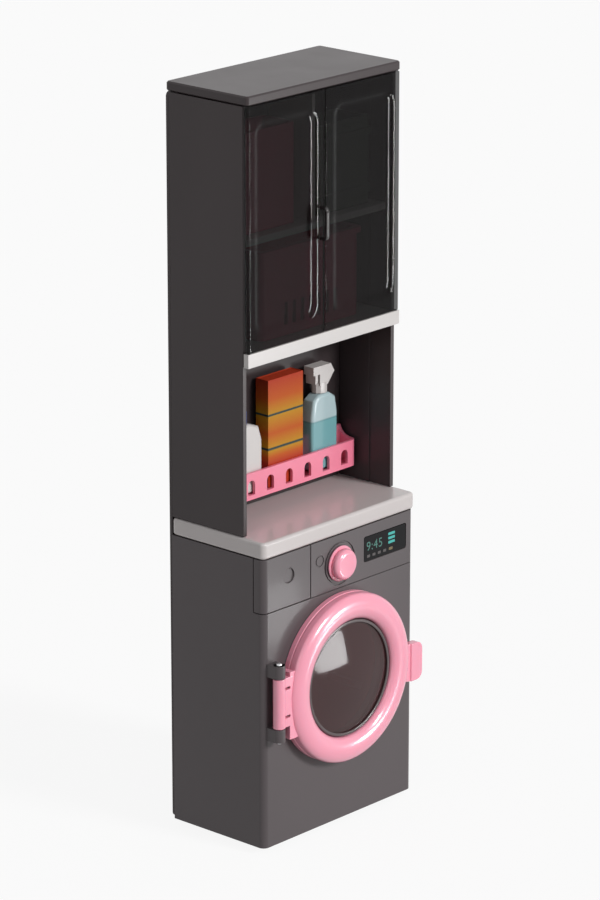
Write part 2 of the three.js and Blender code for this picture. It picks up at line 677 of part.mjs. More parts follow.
// A gear's outline with a tooth, or else a gap, straight up
function gearOutline(teeth, toothUp) {
  const pitch = pitchRadius(teeth);
  const radii = [
    pitch - gearModule * gears.dedendumShare,
    pitch,
    pitch + gearModule * gears.addendumShare,
  ];
  const step = (2 * Math.PI) / teeth;
  const start = Math.PI / 2 + (toothUp ? 0 : step / 2);
  const points = Array.from({ length: teeth }, (_, tooth) => {
    const middle = start + tooth * step;
    const flank = (side) =>
      radii.map((radius) => {
        const angle = middle + side * toothHalfAngle(teeth, radius);
        return [radius * Math.cos(angle), radius * Math.sin(angle)];
      });
    return [...flank(-1), ...flank(1).reverse()];
  });
  return polygon(points.flat());
}

// A round or six-sided bore, as a hole in a gear's outline
function boreHole(radius, sides, x = 0, y = 0) {
  const hole = new THREE.Path();
  for (let i = 0; i < sides; i++) {
    const angle = (-2 * Math.PI * i) / sides;
    const point = [x + radius * Math.sin(angle), y + radius * Math.cos(angle)];
    if (i === 0) hole.moveTo(...point);
    else hole.lineTo(...point);
  }
  return hole;
}

function gear(name, teeth, toothUp, bore, z, extraHoles = []) {
  const outline = gearOutline(teeth, toothUp);
  outline.holes.push(bore, ...extraHoles);
  return node(name, facing(outline, [gearFrontY, gearBackY]), finishes.natural(), [0, 0, z]);
}

function drumGear() {
  const webHoles = Array.from({ length: gears.webHoles }, (_, i) => {
    const angle = (2 * Math.PI * i) / gears.webHoles;
    const place = [webHolePitch * Math.sin(angle), webHolePitch * Math.cos(angle)];
    return boreHole(webHoleRadius, facets.screw, ...place);
  });
  const bore = boreHole(drum.spigotRadius + hexFit, facets.hexagon);
  return gear("drum_gear", gears.drumTeeth, true, bore, doorZ, webHoles);
}

const idlerGear = () =>
  gear(
    "idler_gear", gears.idlerTeeth, false, boreHole(axle.radius + running, facets.small), idlerZ,
  );
const knobPinion = () =>
  gear(
    "knob_pinion", gears.knobTeeth, true, boreHole(knobShaft.radius + hexFit, facets.hexagon), knobZ,
  );

function drumBowl() {
  const { wall, corner } = drum;
  const radius = drumRadius;
  const bore = axle.radius + running;
  const bend = (size) =>
    Array.from({ length: drum.cornerSteps + 1 }, (_, i) => {
      const turn = (i / drum.cornerSteps) * (Math.PI / 2);
      return [radius - corner + size * Math.cos(turn), drumBackY - corner + size * Math.sin(turn)];
    });
  const profile = [
    [drumMouth, drumFrontY], [radius - wall / 2, drumFrontY], [radius, drumFrontY + wall / 2],
    ...bend(corner),
    [bore, drumBackY], [bore, drumBackY - wall],
    ...bend(corner - wall).reverse(),
    [radius - wall, drumFrontY + wall], [drumMouth, drumFrontY + wall],
  ];
  const lifterY = [drumFrontY + drum.lifterInset, drumBackY - drum.lifterInset];
  const lifters = Array.from({ length: drum.lifters }, (_, i) => {
    const half = drum.lifterWidth / 2;
    const root = radius - wall / 2;
    const top = radius - wall - drum.lifterHeight;
    const outline = polygon([[-half, root], [-half / 2, top], [half / 2, top], [half, root]]);
    const geometry = pushed(outline, lifterY[1] - lifterY[0]).rotateX(Math.PI / 2);
    geometry.translate(0, lifterY[1], 0).rotateY((2 * Math.PI * i) / drum.lifters);
    return solid(geometry);
  });
  const spigot = cut(
    barY(drum.spigotRadius, [drumBackY - wall / 2, gearBackY], 0, 0, facets.hexagon),
    barY(bore, [drumBackY - wall, gearBackY + overrun], 0, 0, facets.small),
  );
  const body = join(turnedY(profile, facets.drum), spigot, ...lifters);
  return node("drum", body, finishes.red(), [0, 0, doorZ]);
}

// A pin with a head at its front and a rivet head behind the gear plate
function rivetedPin(name, headRadius, headBackY, z) {
  const { radius, head, rivetRadius, rivet } = axle;
  const rivetY = plateBackY + seam;
  const profile = [
    [0, headBackY - head], [headRadius, headBackY - head], [headRadius, headBackY],
    [radius, headBackY], [radius, rivetY], [rivetRadius, rivetY],
    [rivetRadius, rivetY + rivet], [0, rivetY + rivet],
  ];
  return node(name, turnedY(profile, facets.small), finishes.steel(), [0, 0, z]);
}

const drumAxle = () =>
  rivetedPin("drum_axle", axle.headRadius, drumBackY - drum.wall - seam, doorZ);
const idlerPin = () =>
  rivetedPin("idler_pin", axle.rivetRadius, gearFrontY - seam, idlerZ);

// Posts that reach the back cover, at the plate's four corners
const postPlaces = [-1, 1].flatMap((side) => [
  [side * postX, lowPostZ],
  [side * postX, highPostZ],
]);

function gearPlateBody() {
  const outline = roundedOutline(
    [-gearPlateHalf, gearPlateHalf],
    [doorZ - gearPlate.belowDrum, knobZ + gearPlate.aboveKnob],
    gearPlate.corner,
  );
  const pinHole = (radius, z) =>
    barY(radius, [plateFrontY - overrun, plateBackY + overrun], 0, z);
  let body = cut(
    facing(outline, [plateFrontY, plateBackY]),
    pinHole(axle.radius + seam, doorZ),
    pinHole(axle.radius + seam, idlerZ),
    pinHole(knobShaft.journalRadius + running, knobZ),
  );
  for (const [x, z] of postPlaces) {
    const [post, bore] = backBoss(x, z, gearPlate.postRadius, innerBackY - plateBackY + seam);
    body = cut(join(body, post), bore);
  }
  return node("gear_plate", body, finishes.natural());
}

// Programme knob, its shaft and the pinion at the shaft's far end
const knobBackY = faceY - seam;
const hubBackY = faceY + washer.wall + knob.hubReach;
const socketY = faceY - knob.reach + knob.wallAhead;

function programmeKnob() {
  const noseY = faceY - knob.reach;
  const profile = [
    [0, noseY], [knob.noseRadius - knob.nose, noseY], [knob.noseRadius, noseY + knob.nose],
    [knob.radius, knobBackY - knob.flange], [knob.flangeRadius, knobBackY - knob.flange],
    [knob.flangeRadius, knobBackY], [knob.hubRadius, knobBackY],
    [knob.hubRadius, hubBackY], [0, hubBackY],
  ];
  const body = cut(
    turnedY(profile, facets.medium),
    barY(knobShaft.radius + hexFit, [socketY, hubBackY + overrun], 0, 0, facets.hexagon),
  );
  return node("programme_knob", body, finishes.pink(), [0, 0, knobZ]);
}

function knobShaftBody() {
  const collarY = gearFrontY - seam;
  const body = join(
    barY(knobShaft.radius, [socketY + seam, gearBackY], 0, 0, facets.hexagon),
    barY(knobShaft.collarRadius, [collarY - knobShaft.collar, collarY]),
    barY(knobShaft.journalRadius, [gearBackY - overrun, plateBackY + seam]),
  );
  return node("knob_shaft", body, finishes.natural(), [0, 0, knobZ]);
}

// Cabinet above the washing machine

const bossX = cabinetWidth / 2 - cabinet.backBossX;

function cabinetWall(side) {
  const half = cabinetWidth / 2;
  const name = side < 0 ? "cabinet_left_wall" : "cabinet_right_wall";
  const span = (near, far) => (side < 0 ? [-far, -near] : [near, far]);
  const z = [wallBottom, wallTop];
  let body = join(
    block(span(half - cabinet.wall, half), [cabinetFrontY, innerBackY], z),
    block(span(innerWallX, half - cabinet.wall / 2), [cabinetFrontY + cabinet.stepSetback, innerBackY], z),
    block(
      span(innerWallX - shelf.ledge, half - cabinet.wall / 2),
      [cabinetFrontY + shelf.ledgeSetback, alcoveBackY - shelf.ledgeBackInset],
      [shelfZ - seam - shelf.ledge, shelfZ - seam],
    ),
  );
  for (const bossZ of [lowBossZ, highBossZ]) {
    const length = innerBackY - alcoveBackY - alcove.backing - seam;
    const [boss, bore] = backBoss(side * bossX, bossZ, cabinet.bossRadius, length);
    body = cut(join(body, boss), bore);
  }
  for (const y of stripPegY) {
    const holeX = [side * (innerWallX - overrun), side * (innerWallX + strip.pegReach)];
    body = cut(body, barX(strip.pegRadius + seam, holeX, y, stripTop - strip.pegDrop));
  }
  return node(name, body, finishes.black());
}

const rackPegX = rackHalf - rack.pegInset;

function alcoveBack() {
  const half = innerWallX - seam;
  const y = [alcoveBackY, alcoveBackY + alcove.backing];
  const holes = [-1, 1].map((side) =>
    barY(rack.pegRadius + seam, [y[0] - overrun, y[1] + overrun], side * rackPegX, rackPegZ),
  );
  const body = cut(block([-half, half], y, [wallBottom, wallTop]), ...holes);
  return node("alcove_back", body, finishes.black());
}

function cupboardFloor() {
  const half = cabinetWidth / 2 - flush;
  const plateHalf = innerWallX - seam;
  let body = join(
    block([-half, half], [stripFrontY, stripFrontY + strip.lip], [stripBottom, stripTop]),
    block(
      [-plateHalf, plateHalf], [stripFrontY + strip.lip / 2, rackBackY],
      [stripTop - strip.floor, stripTop],
    ),
  );
  for (const side of [-1, 1]) {
    for (const y of stripPegY) {
      const pegX = [side * (plateHalf - strip.floor), side * (plateHalf + strip.pegReach)];
      body = join(body, barX(strip.pegRadius, pegX, y, stripTop - strip.pegDrop));
    }
    const hole = [stripTop - cupboardDoor.pegLength - seam, stripTop + overrun];
    const radius = cupboardDoor.pegRadius + cupboardDoor.pegClearance;
    body = cut(body, barZ(radius, hole, side * pivotX, pivotY, facets.screw));
  }
  return node("cupboard_floor", body, finishes.white());
}

function cupboardCap() {
  const half = cabinetWidth / 2;
  const plan = roundedOutline([-half, half], [stripFrontY, backY], cap.corner);
  const skirtX = innerWallX - seam;
  const skirtZ = [capZ - cap.skirtDrop, capZ + cap.thickness / 2];
  const skirtY = [cabinetFrontY + cap.skirtSetback, rackBackY];
  const skirt = cut(
    block([-skirtX, skirtX], skirtY, skirtZ),
    block(
      [cap.skirtWall - skirtX, skirtX - cap.skirtWall],
      [skirtY[0] + cap.skirtWall, skirtY[1] - cap.skirtWall],
      [skirtZ[0] - overrun, skirtZ[1] + overrun],
    ),
  );
  const hole = [capZ - overrun, capZ + cupboardDoor.pegLength + seam];
  const radius = cupboardDoor.pegRadius + cupboardDoor.pegClearance;
  const body = cut(
    join(raised(plan, [capZ, towerTop], cap.edge), skirt),
    barZ(radius, hole, -pivotX, pivotY, facets.screw),
    barZ(radius, hole, pivotX, pivotY, facets.screw),
  );
  return node("cupboard_cap", body, finishes.black());
}

function cupboardShelf() {
  const half = innerWallX - seam;
  const body = block([-half, half], [shelfFrontY, rackBackY], [shelfZ, shelfTop]);
  return node("cupboard_shelf", body, finishes.white());
}

function cupboardDivider() {
  const half = divider.thickness / 2;
  const z = [shelfTop + seam, capZ - cap.skirtDrop - seam];
  const body = block([-half, half], [shelfFrontY + divider.inset, rackBackY], z);
  return node("cupboard_divider", body, finishes.white());
}

// Heights of the two pegs that hold the handle on the left door
const handlePegs = [handleBottom + handle.bar / 2, handleBottom + handle.height - handle.bar / 2];

// A cupboard door with a raised band, turning on a peg at each end of its outer edge
function cupboardDoorPanel(side) {
  const name = side < 0 ? "left_cupboard_door" : "right_cupboard_door";
  const span = (near, far) => (side < 0 ? [-far, -near] : [near, far]);
  const y = [stripFrontY, stripFrontY + cupboardDoor.thickness];
  const z = [doorBottom, wallTop];
  const outer = pivotX + cupboardDoor.barrelRadius;
  const bandX = span(
    cupboardDoor.meeting + cupboardDoor.bandFromMeeting, outer - cupboardDoor.bandFromHinge,
  );
  const bandZ = [z[0] + cupboardDoor.bandFromEnds, z[1] - cupboardDoor.bandFromEnds];
  const within = (from, to) => [from + cupboardDoor.bandWidth, to - cupboardDoor.bandWidth];
  const band = roundedOutline(bandX, bandZ, cupboardDoor.bandCorner);
  band.holes.push(
    roundedOutline(
      within(...bandX), within(...bandZ), cupboardDoor.bandCorner - cupboardDoor.bandWidth / 2,
    ),
  );
  let body = join(
    block(span(cupboardDoor.meeting, pivotX), y, z),
    barZ(cupboardDoor.barrelRadius, z, side * pivotX, pivotY, facets.small),
    barZ(
      cupboardDoor.pegRadius, [z[0] - cupboardDoor.pegLength, z[1] + cupboardDoor.pegLength],
      side * pivotX, pivotY, facets.screw,
    ),
    facing(band, [y[0] - cupboardDoor.bandProud, y[0] + cupboardDoor.thickness / 2]),
  );
  if (side < 0)
    for (const pegZ of handlePegs) {
      const hole = [y[0] - overrun, y[1] + overrun];
      body = cut(body, barY(handle.pegRadius + seam, hole, handleX, pegZ, facets.screw));
    }
  return node(name, body, finishes.smoke());
}

function cupboardHandle() {
  const y = [stripFrontY - handle.reach, stripFrontY - seam];
  const z = [handleBottom, handleBottom + handle.height];
  const x = [handleX - handle.width / 2, handleX + handle.width / 2];
  const grip = roundedOutline([y[0], y[1] + handle.corner], z, handle.corner);
  const space = [y[0] + handle.bar, y[1] + handle.corner + overrun];
  const past = (from, to) => [from - overrun, to + overrun];
  const body = cut(
    across(grip, x),
    block(past(...x), space, [z[0] + handle.bar, z[1] - handle.bar]),
    block(past(...x), [y[1], y[1] + handle.corner + overrun], past(...z)),
  );
  const pegY = [y[1] - handle.bar / 2, y[1] + seam + handle.pegLength];
  const pegs = handlePegs.map((pegZ) =>
    barY(handle.pegRadius, pegY, handleX, pegZ, facets.screw),
  );
  return node("cupboard_handle", join(body, ...pegs), finishes.black());
}

// Rack in the alcove and what stands in it

function alcoveRack() {
  const { wall } = rack;
  const halfWidth = rackHalf;
  const bottom = rackBottom;
  const frontTop = bottom + rack.frontHeight;
  const top = frontTop + rack.rise;
  const plan = new THREE.Shape();
  plan.moveTo(-halfWidth, rackBackY);
  plan.lineTo(-halfWidth, rackFrontY + rack.corner);
  const cornerY = rackFrontY + rack.corner;
  plan.absarc(rack.corner - halfWidth, cornerY, rack.corner, Math.PI, Math.PI * 1.5);
  plan.absarc(halfWidth - rack.corner, cornerY, rack.corner, -Math.PI / 2, 0);
  plan.lineTo(halfWidth, rackBackY);
  const well = roundedOutline(
    [wall - halfWidth, halfWidth - wall], [rackFrontY + wall, rackBackY - rack.backWall],
    rack.corner - wall,
  );
  const dip = new THREE.Shape();
  dip.moveTo(rackFrontY - overrun, frontTop);
  dip.lineTo(rackFrontY + rack.riseStart, frontTop);
  dip.quadraticCurveTo(rackBackY - rack.riseStart, frontTop, rackBackY - rack.backWall, top);
  dip.lineTo(rackBackY - rack.backWall, top + overrun);
  dip.lineTo(rackFrontY - overrun, top + overrun);
  let body = cut(
    raised(plan, [bottom, top]),
    raised(well, [bottom + rack.floor, top + overrun]),
    across(dip, [-halfWidth - overrun, halfWidth + overrun], 0, 6),
  );
  const slotPitch = (2 * (halfWidth - rack.slotFromEnd)) / (rack.slots - 1);
  for (let i = 0; i < rack.slots; i++) {
    const x = (i - (rack.slots - 1) / 2) * slotPitch;
    const half = rack.slotWidth / 2;
    const low = bottom + rack.slotBottom;
    const slot = new THREE.Shape();
    slot.moveTo(x - half, low);
    slot.lineTo(x + half, low);
    slot.absarc(x, low + rack.slotHeight - half, half, 0, Math.PI);
    body = cut(body, facing(slot, [rackFrontY - overrun, rackFrontY + wall + overrun]));
  }
  const pegs = [-1, 1].map((side) =>
    barY(
      rack.pegRadius, [rackBackY - rack.backWall / 2, alcoveBackY + alcove.backing],
      side * rackPegX, rackPegZ,
    ),
  );
  return node("alcove_rack", join(body, ...pegs), finishes.palePink());
}

const supplyY = [
  rackFrontY + rack.wall + supplies.frontGap,
  rackFrontY + rack.wall + supplies.frontGap + supplies.depth,
];
const supplyZ = rackBottom + rack.floor + supplies.floorGap;
const supplyMiddleY = (supplyY[0] + supplyY[1]) / 2;

function detergentBox() {
  const { halfWidth, height, edge, flap } = powderBox;
  const outline = roundedOutline([-halfWidth, halfWidth], [supplyZ, supplyZ + height], edge);
  const ledge = block(
    [-halfWidth - overrun, halfWidth + overrun],
    [supplyY[0] - overrun, supplyY[0] + edge],
    [supplyZ + height - flap, supplyZ + height + overrun],
  );
  return node("detergent_box", cut(facing(outline, supplyY, edge, 1), ledge), finishes.orange());
}

// A flat bottle with sloping shoulders and a round neck
function bottle(size, halfWidth) {
  const { height, shoulder, neckRadius, edge, bodyCorner } = size;
  const z0 = supplyZ;
  const shape = new THREE.Shape();
  shape.moveTo(bodyCorner - halfWidth, z0);
  shape.lineTo(halfWidth - bodyCorner, z0);
  shape.absarc(halfWidth - bodyCorner, z0 + bodyCorner, bodyCorner, -Math.PI / 2, 0);
  shape.lineTo(halfWidth, z0 + height - shoulder);
  shape.quadraticCurveTo(halfWidth, z0 + height, neckRadius + edge, z0 + height);
  shape.lineTo(-neckRadius - edge, z0 + height);
  shape.quadraticCurveTo(-halfWidth, z0 + height, -halfWidth, z0 + height - shoulder);
  shape.lineTo(-halfWidth, z0 + bodyCorner);
  shape.absarc(bodyCorner - halfWidth, z0 + bodyCorner, bodyCorner, Math.PI, Math.PI * 1.5);
  return join(
    facing(shape, supplyY, edge, 2),
    barZ(neckRadius, [z0 + height - edge, z0 + height + size.neck], 0, supplyMiddleY),
  );
}

const softenerBottle = () =>
  node("softener_bottle", bottle(softener, softenerHalf), finishes.white(), [softenerX, 0, 0]);

function softenerCap() {
  const z = supplyZ + softener.height + seam;
  const bore = softener.neckRadius + seam;
  const wellTop = supplyZ + softener.height + softener.neck + seam;
  const profile = [
    [bore, z], [softener.capRadius, z], [softener.capRadius, z + softener.capHeight - softener.edge],
    [softener.capRadius - softener.edge, z + softener.capHeight], [0, z + softener.capHeight],
    [0, wellTop], [bore, wellTop],
  ];
  const body = turnedZ(profile, facets.small, 0, supplyMiddleY);
  return node("softener_cap", body, finishes.blue(), [softenerX, 0, 0]);
}

const sprayBottle = () =>
  node("spray_bottle", bottle(spray, sprayHalf), finishes.turquoise(), [sprayX, 0, 0]);

function sprayHead() {
  const z = supplyZ + spray.height + seam;
  const half = spray.headWidth / 2;
  const stem = spray.stemWidth / 2;
  const low = z + spray.skirtHeight;
  const top = low + spray.headHeight;
  const under = top - spray.nozzleDrop;
  const trigger = spray.triggerSetback - half;
  const outline = polygon([
    [-half, under], [trigger, under], [trigger, under - spray.triggerDrop],
    [trigger + spray.triggerWidth, under - spray.triggerDrop + spray.triggerSlope],
    [trigger + spray.triggerWidth, under], [-stem, under], [-stem, low], [stem, low],
    [half, under], [half - spray.slope, top], [-half, top],
  ]);
  const y = [supplyMiddleY - spray.headDepth / 2, supplyMiddleY + spray.headDepth / 2];
  const bore = [z - overrun, supplyZ + spray.height + spray.neck + seam];
  const body = cut(
    join(facing(outline, y, 0), barZ(spray.skirtRadius, [z, low + overrun], 0, supplyMiddleY)),
    barZ(spray.neckRadius + seam, bore, 0, supplyMiddleY),
  );
  return node("spray_head", body, finishes.white(), [sprayX, 0, 0]);
}

// Storage inside the cupboard

// An open box with a wall and a floor, between two corners
function openBox(x, y, z, wall, corner) {
  const within = (from, to) => [from + wall, to - wall];
  const well = roundedOutline(within(...x), within(...y), corner - wall / 2);
  return cut(
    raised(roundedOutline(x, y, corner), z, 0, 2),
    raised(well, [z[0] + wall, z[1] + overrun], 0, 2),
  );
}

function laundryBasket() {
  const { wall, rim, corner } = basket;
  const halfWidth = innerWallX - basket.fromWall;
  const z = [doorBottom, shelfZ - basket.headroom];
  const y = [cabinetFrontY + basket.setback, alcoveBackY - basket.backGap];
  const rimBlock = raised(
    roundedOutline([-halfWidth - rim, halfWidth + rim], [y[0] - rim, y[1] + rim], corner),
    [z[1] - basket.rimHeight, z[1]], 0, 2,
  );
  const wellOutline = roundedOutline(
    [wall - halfWidth, halfWidth - wall], [y[0] + wall, y[1] - wall], corner - wall / 2,
  );
  let body = cut(
    join(openBox([-halfWidth, halfWidth], y, z, wall, corner), rimBlock),
    raised(wellOutline, [z[0] + wall, z[1] + overrun], 0, 2),
  );
  for (let i = 0; i < basket.slots; i++) {
    const x = (i - (basket.slots - 1) / 2) * basket.slotPitch;
    body = cut(
      body,
      block(
        [x - basket.slotWidth / 2, x + basket.slotWidth / 2], [y[0] - overrun, y[0] + wall + overrun],
        [z[0] + basket.slotBottom, z[0] + basket.slotBottom + basket.slotHeight],
      ),
    );
  }
  return node("laundry_basket", body, finishes.rose());
}

function storageBin() {
  const x = [bin.fromWall - innerWallX, -divider.thickness / 2 - bin.fromDivider];
  const y = [cabinetFrontY + bin.setback, alcoveBackY - bin.backGap];
  const z = [shelfTop + seam, capZ - bin.headroom];
  const body = openBox(x, y, z, bin.wall, bin.corner);
  return node("storage_bin", body, finishes.rose());
}

function storageCrate() {
  const { wall, corner, band } = crate;
  const inner = divider.thickness / 2 + crate.fromDivider;
  const outer = innerWallX - crate.fromWall;
  const y = [cabinetFrontY + crate.setback, alcoveBackY - crate.backGap];
  const z = [shelfTop + seam, capZ - crate.headroom];
  const bands = [z[0] + crate.bandInset, z[1] - crate.bandInset - crate.bandHeight].map((low) =>
    raised(
      roundedOutline([inner - band, outer + band], [y[0] - band, y[1] + band], corner),
      [low, low + crate.bandHeight], 0, 2,
    ),
  );
  const body = cut(
    join(openBox([inner, outer], y, z, wall, corner), ...bands),
    raised(
      roundedOutline([inner + wall, outer - wall], [y[0] + wall, y[1] - wall], corner - wall / 2),
      [z[0] + wall, z[1] + overrun], 0, 2,
    ),
  );
  return node("storage_crate", body, finishes.green());
}

// Back cover and its screws

const washerBossX = washerWidth / 2 - washer.wall - washer.bossInset + washer.bossRadius / 2;
const screwPlaces = [
  ["gear_lower", postX, lowPostZ],
  ["gear_upper", postX, highPostZ],
  ["base_lower", washerBossX, washerBossZ],
  ["cabinet_upper", bossX, lowBossZ],
  ["cabinet_top", bossX, highBossZ],
].flatMap(([where, x, z]) => [
  ["screw_" + where + "_left", -x, z],
  ["screw_" + where + "_right", x, z],
]);

function backCoverPlate() {
  const half = cabinetWidth / 2 - seam;
  const outline = roundedOutline([-half, half], [foot.height + seam, wallTop], backCover.corner);
  const past = [coverY - overrun, backY + overrun];
  let body = facing(outline, [coverY, backY]);
  for (const [, x, z] of screwPlaces)
    body = cut(
      body,
      barY(screw.shankRadius + screw.clearance, past, x, z, facets.screw),
      barY(
        screw.headRadius + screw.clearance, [backY - screw.head - seam, past[1]], x, z,
        facets.screw,
      ),
    );
  return node("back_cover", body, finishes.black());
}

const backScrews = () =>
  screwPlaces.map(([name, x, z]) => {
    const headY = [backY - screw.head, backY];
    const shankY = [headY[0] - screw.length, headY[1] - screw.head / 2];
    const body = join(
      barY(screw.headRadius, headY, 0, 0, facets.screw),
      barY(screw.shankRadius, shankY, 0, 0, facets.screw),
    );
    return node(name, body, finishes.steel(), [x, 0, z]);
  });

// The whole tower
const closedDoor = assembly(doorRing(), doorLens(), lensBezel(), lensRetainer());
closedDoor.position.z = doorZ;

const gearTrain = assembly(
  drumGear(),
  idlerGear(), knobPinion(), drumBowl(), drumAxle(), idlerPin(), gearPlateBody(),
  programmeKnob(), knobShaftBody(),
);

const washingMachine = assembly(
  washerShell(), controlPanel(), displayWindow(), washerTop(), washerBase(), ...feet(),
  detergentDrawer(), drawerRunner(), doorSeal(), hingePin(), closedDoor, gearTrain,
);

const cupboard = assembly(
  cabinetWall(-1), cabinetWall(1), alcoveBack(), cupboardFloor(), cupboardCap(), cupboardShelf(),
  cupboardDivider(), cupboardDoorPanel(-1), cupboardDoorPanel(1), cupboardHandle(),
  laundryBasket(), storageBin(), storageCrate(),
);

const rackAndSupplies = assembly(
  alcoveRack(), detergentBox(), softenerBottle(), softenerCap(), sprayBottle(), sprayHead(),
);

const laundryTower = assembly(
  washingMachine, cupboard, rackAndSupplies, backCoverPlate(), ...backScrews(),
);

export default laundryTower;
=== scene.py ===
"""Dresses the toy laundry tower: finishes, finely modelled pieces, studio and camera.

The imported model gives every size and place. Lengths in this file are millimetres in the
same frame as the model, and the tools of the Piece class turn them into metres.
"""

import logging
import math
from contextlib import contextmanager
from dataclasses import dataclass, field
from enum import Enum
from typing import Callable, Iterator, Optional, Sequence, Union

import bmesh
import bpy
from mathutils import Matrix, Vector

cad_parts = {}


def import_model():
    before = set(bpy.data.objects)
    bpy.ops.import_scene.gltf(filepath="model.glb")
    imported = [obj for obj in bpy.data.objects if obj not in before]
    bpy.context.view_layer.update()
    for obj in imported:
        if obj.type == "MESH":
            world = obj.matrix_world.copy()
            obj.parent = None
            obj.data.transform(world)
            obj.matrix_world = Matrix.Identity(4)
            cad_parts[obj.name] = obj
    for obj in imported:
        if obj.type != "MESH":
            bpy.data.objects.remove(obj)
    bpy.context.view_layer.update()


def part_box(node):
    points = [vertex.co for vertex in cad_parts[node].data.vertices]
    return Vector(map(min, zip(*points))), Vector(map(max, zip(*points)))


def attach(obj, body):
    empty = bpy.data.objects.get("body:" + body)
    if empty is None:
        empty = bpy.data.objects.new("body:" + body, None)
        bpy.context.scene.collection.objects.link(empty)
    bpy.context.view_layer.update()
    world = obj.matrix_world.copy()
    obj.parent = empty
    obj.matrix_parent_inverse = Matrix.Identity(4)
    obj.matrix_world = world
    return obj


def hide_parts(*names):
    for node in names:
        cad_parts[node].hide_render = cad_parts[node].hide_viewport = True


log = logging.getLogger("laundry_tower")

# One millimetre in Blender's metres
MM = 0.001
TURN = 2 * math.pi
FINISH = "_finish"
# Points nearer than this many millimetres are one
WELD = 0.002

Point = tuple[float, float, float]
Colour = tuple[float, float, float]
Span = tuple[float, float]


class Body(Enum):
    """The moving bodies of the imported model."""

    TOWER = "tower"
    WASHER_DOOR = "washer_door"
    DRUM = "drum"
    IDLER = "idler"
    KNOB = "knob"
    DRAWER = "drawer"
    LEFT_DOOR = "left_door"
    RIGHT_DOOR = "right_door"
    POWDER = "powder"
    SOFTENER = "softener"
    SPRAY = "spray"


class Axis(Enum):
    """The direction that a round piece is turned about."""

    Y = (0.0, 1.0, 0.0)
    Z = (0.0, 0.0, 1.0)


# Materials


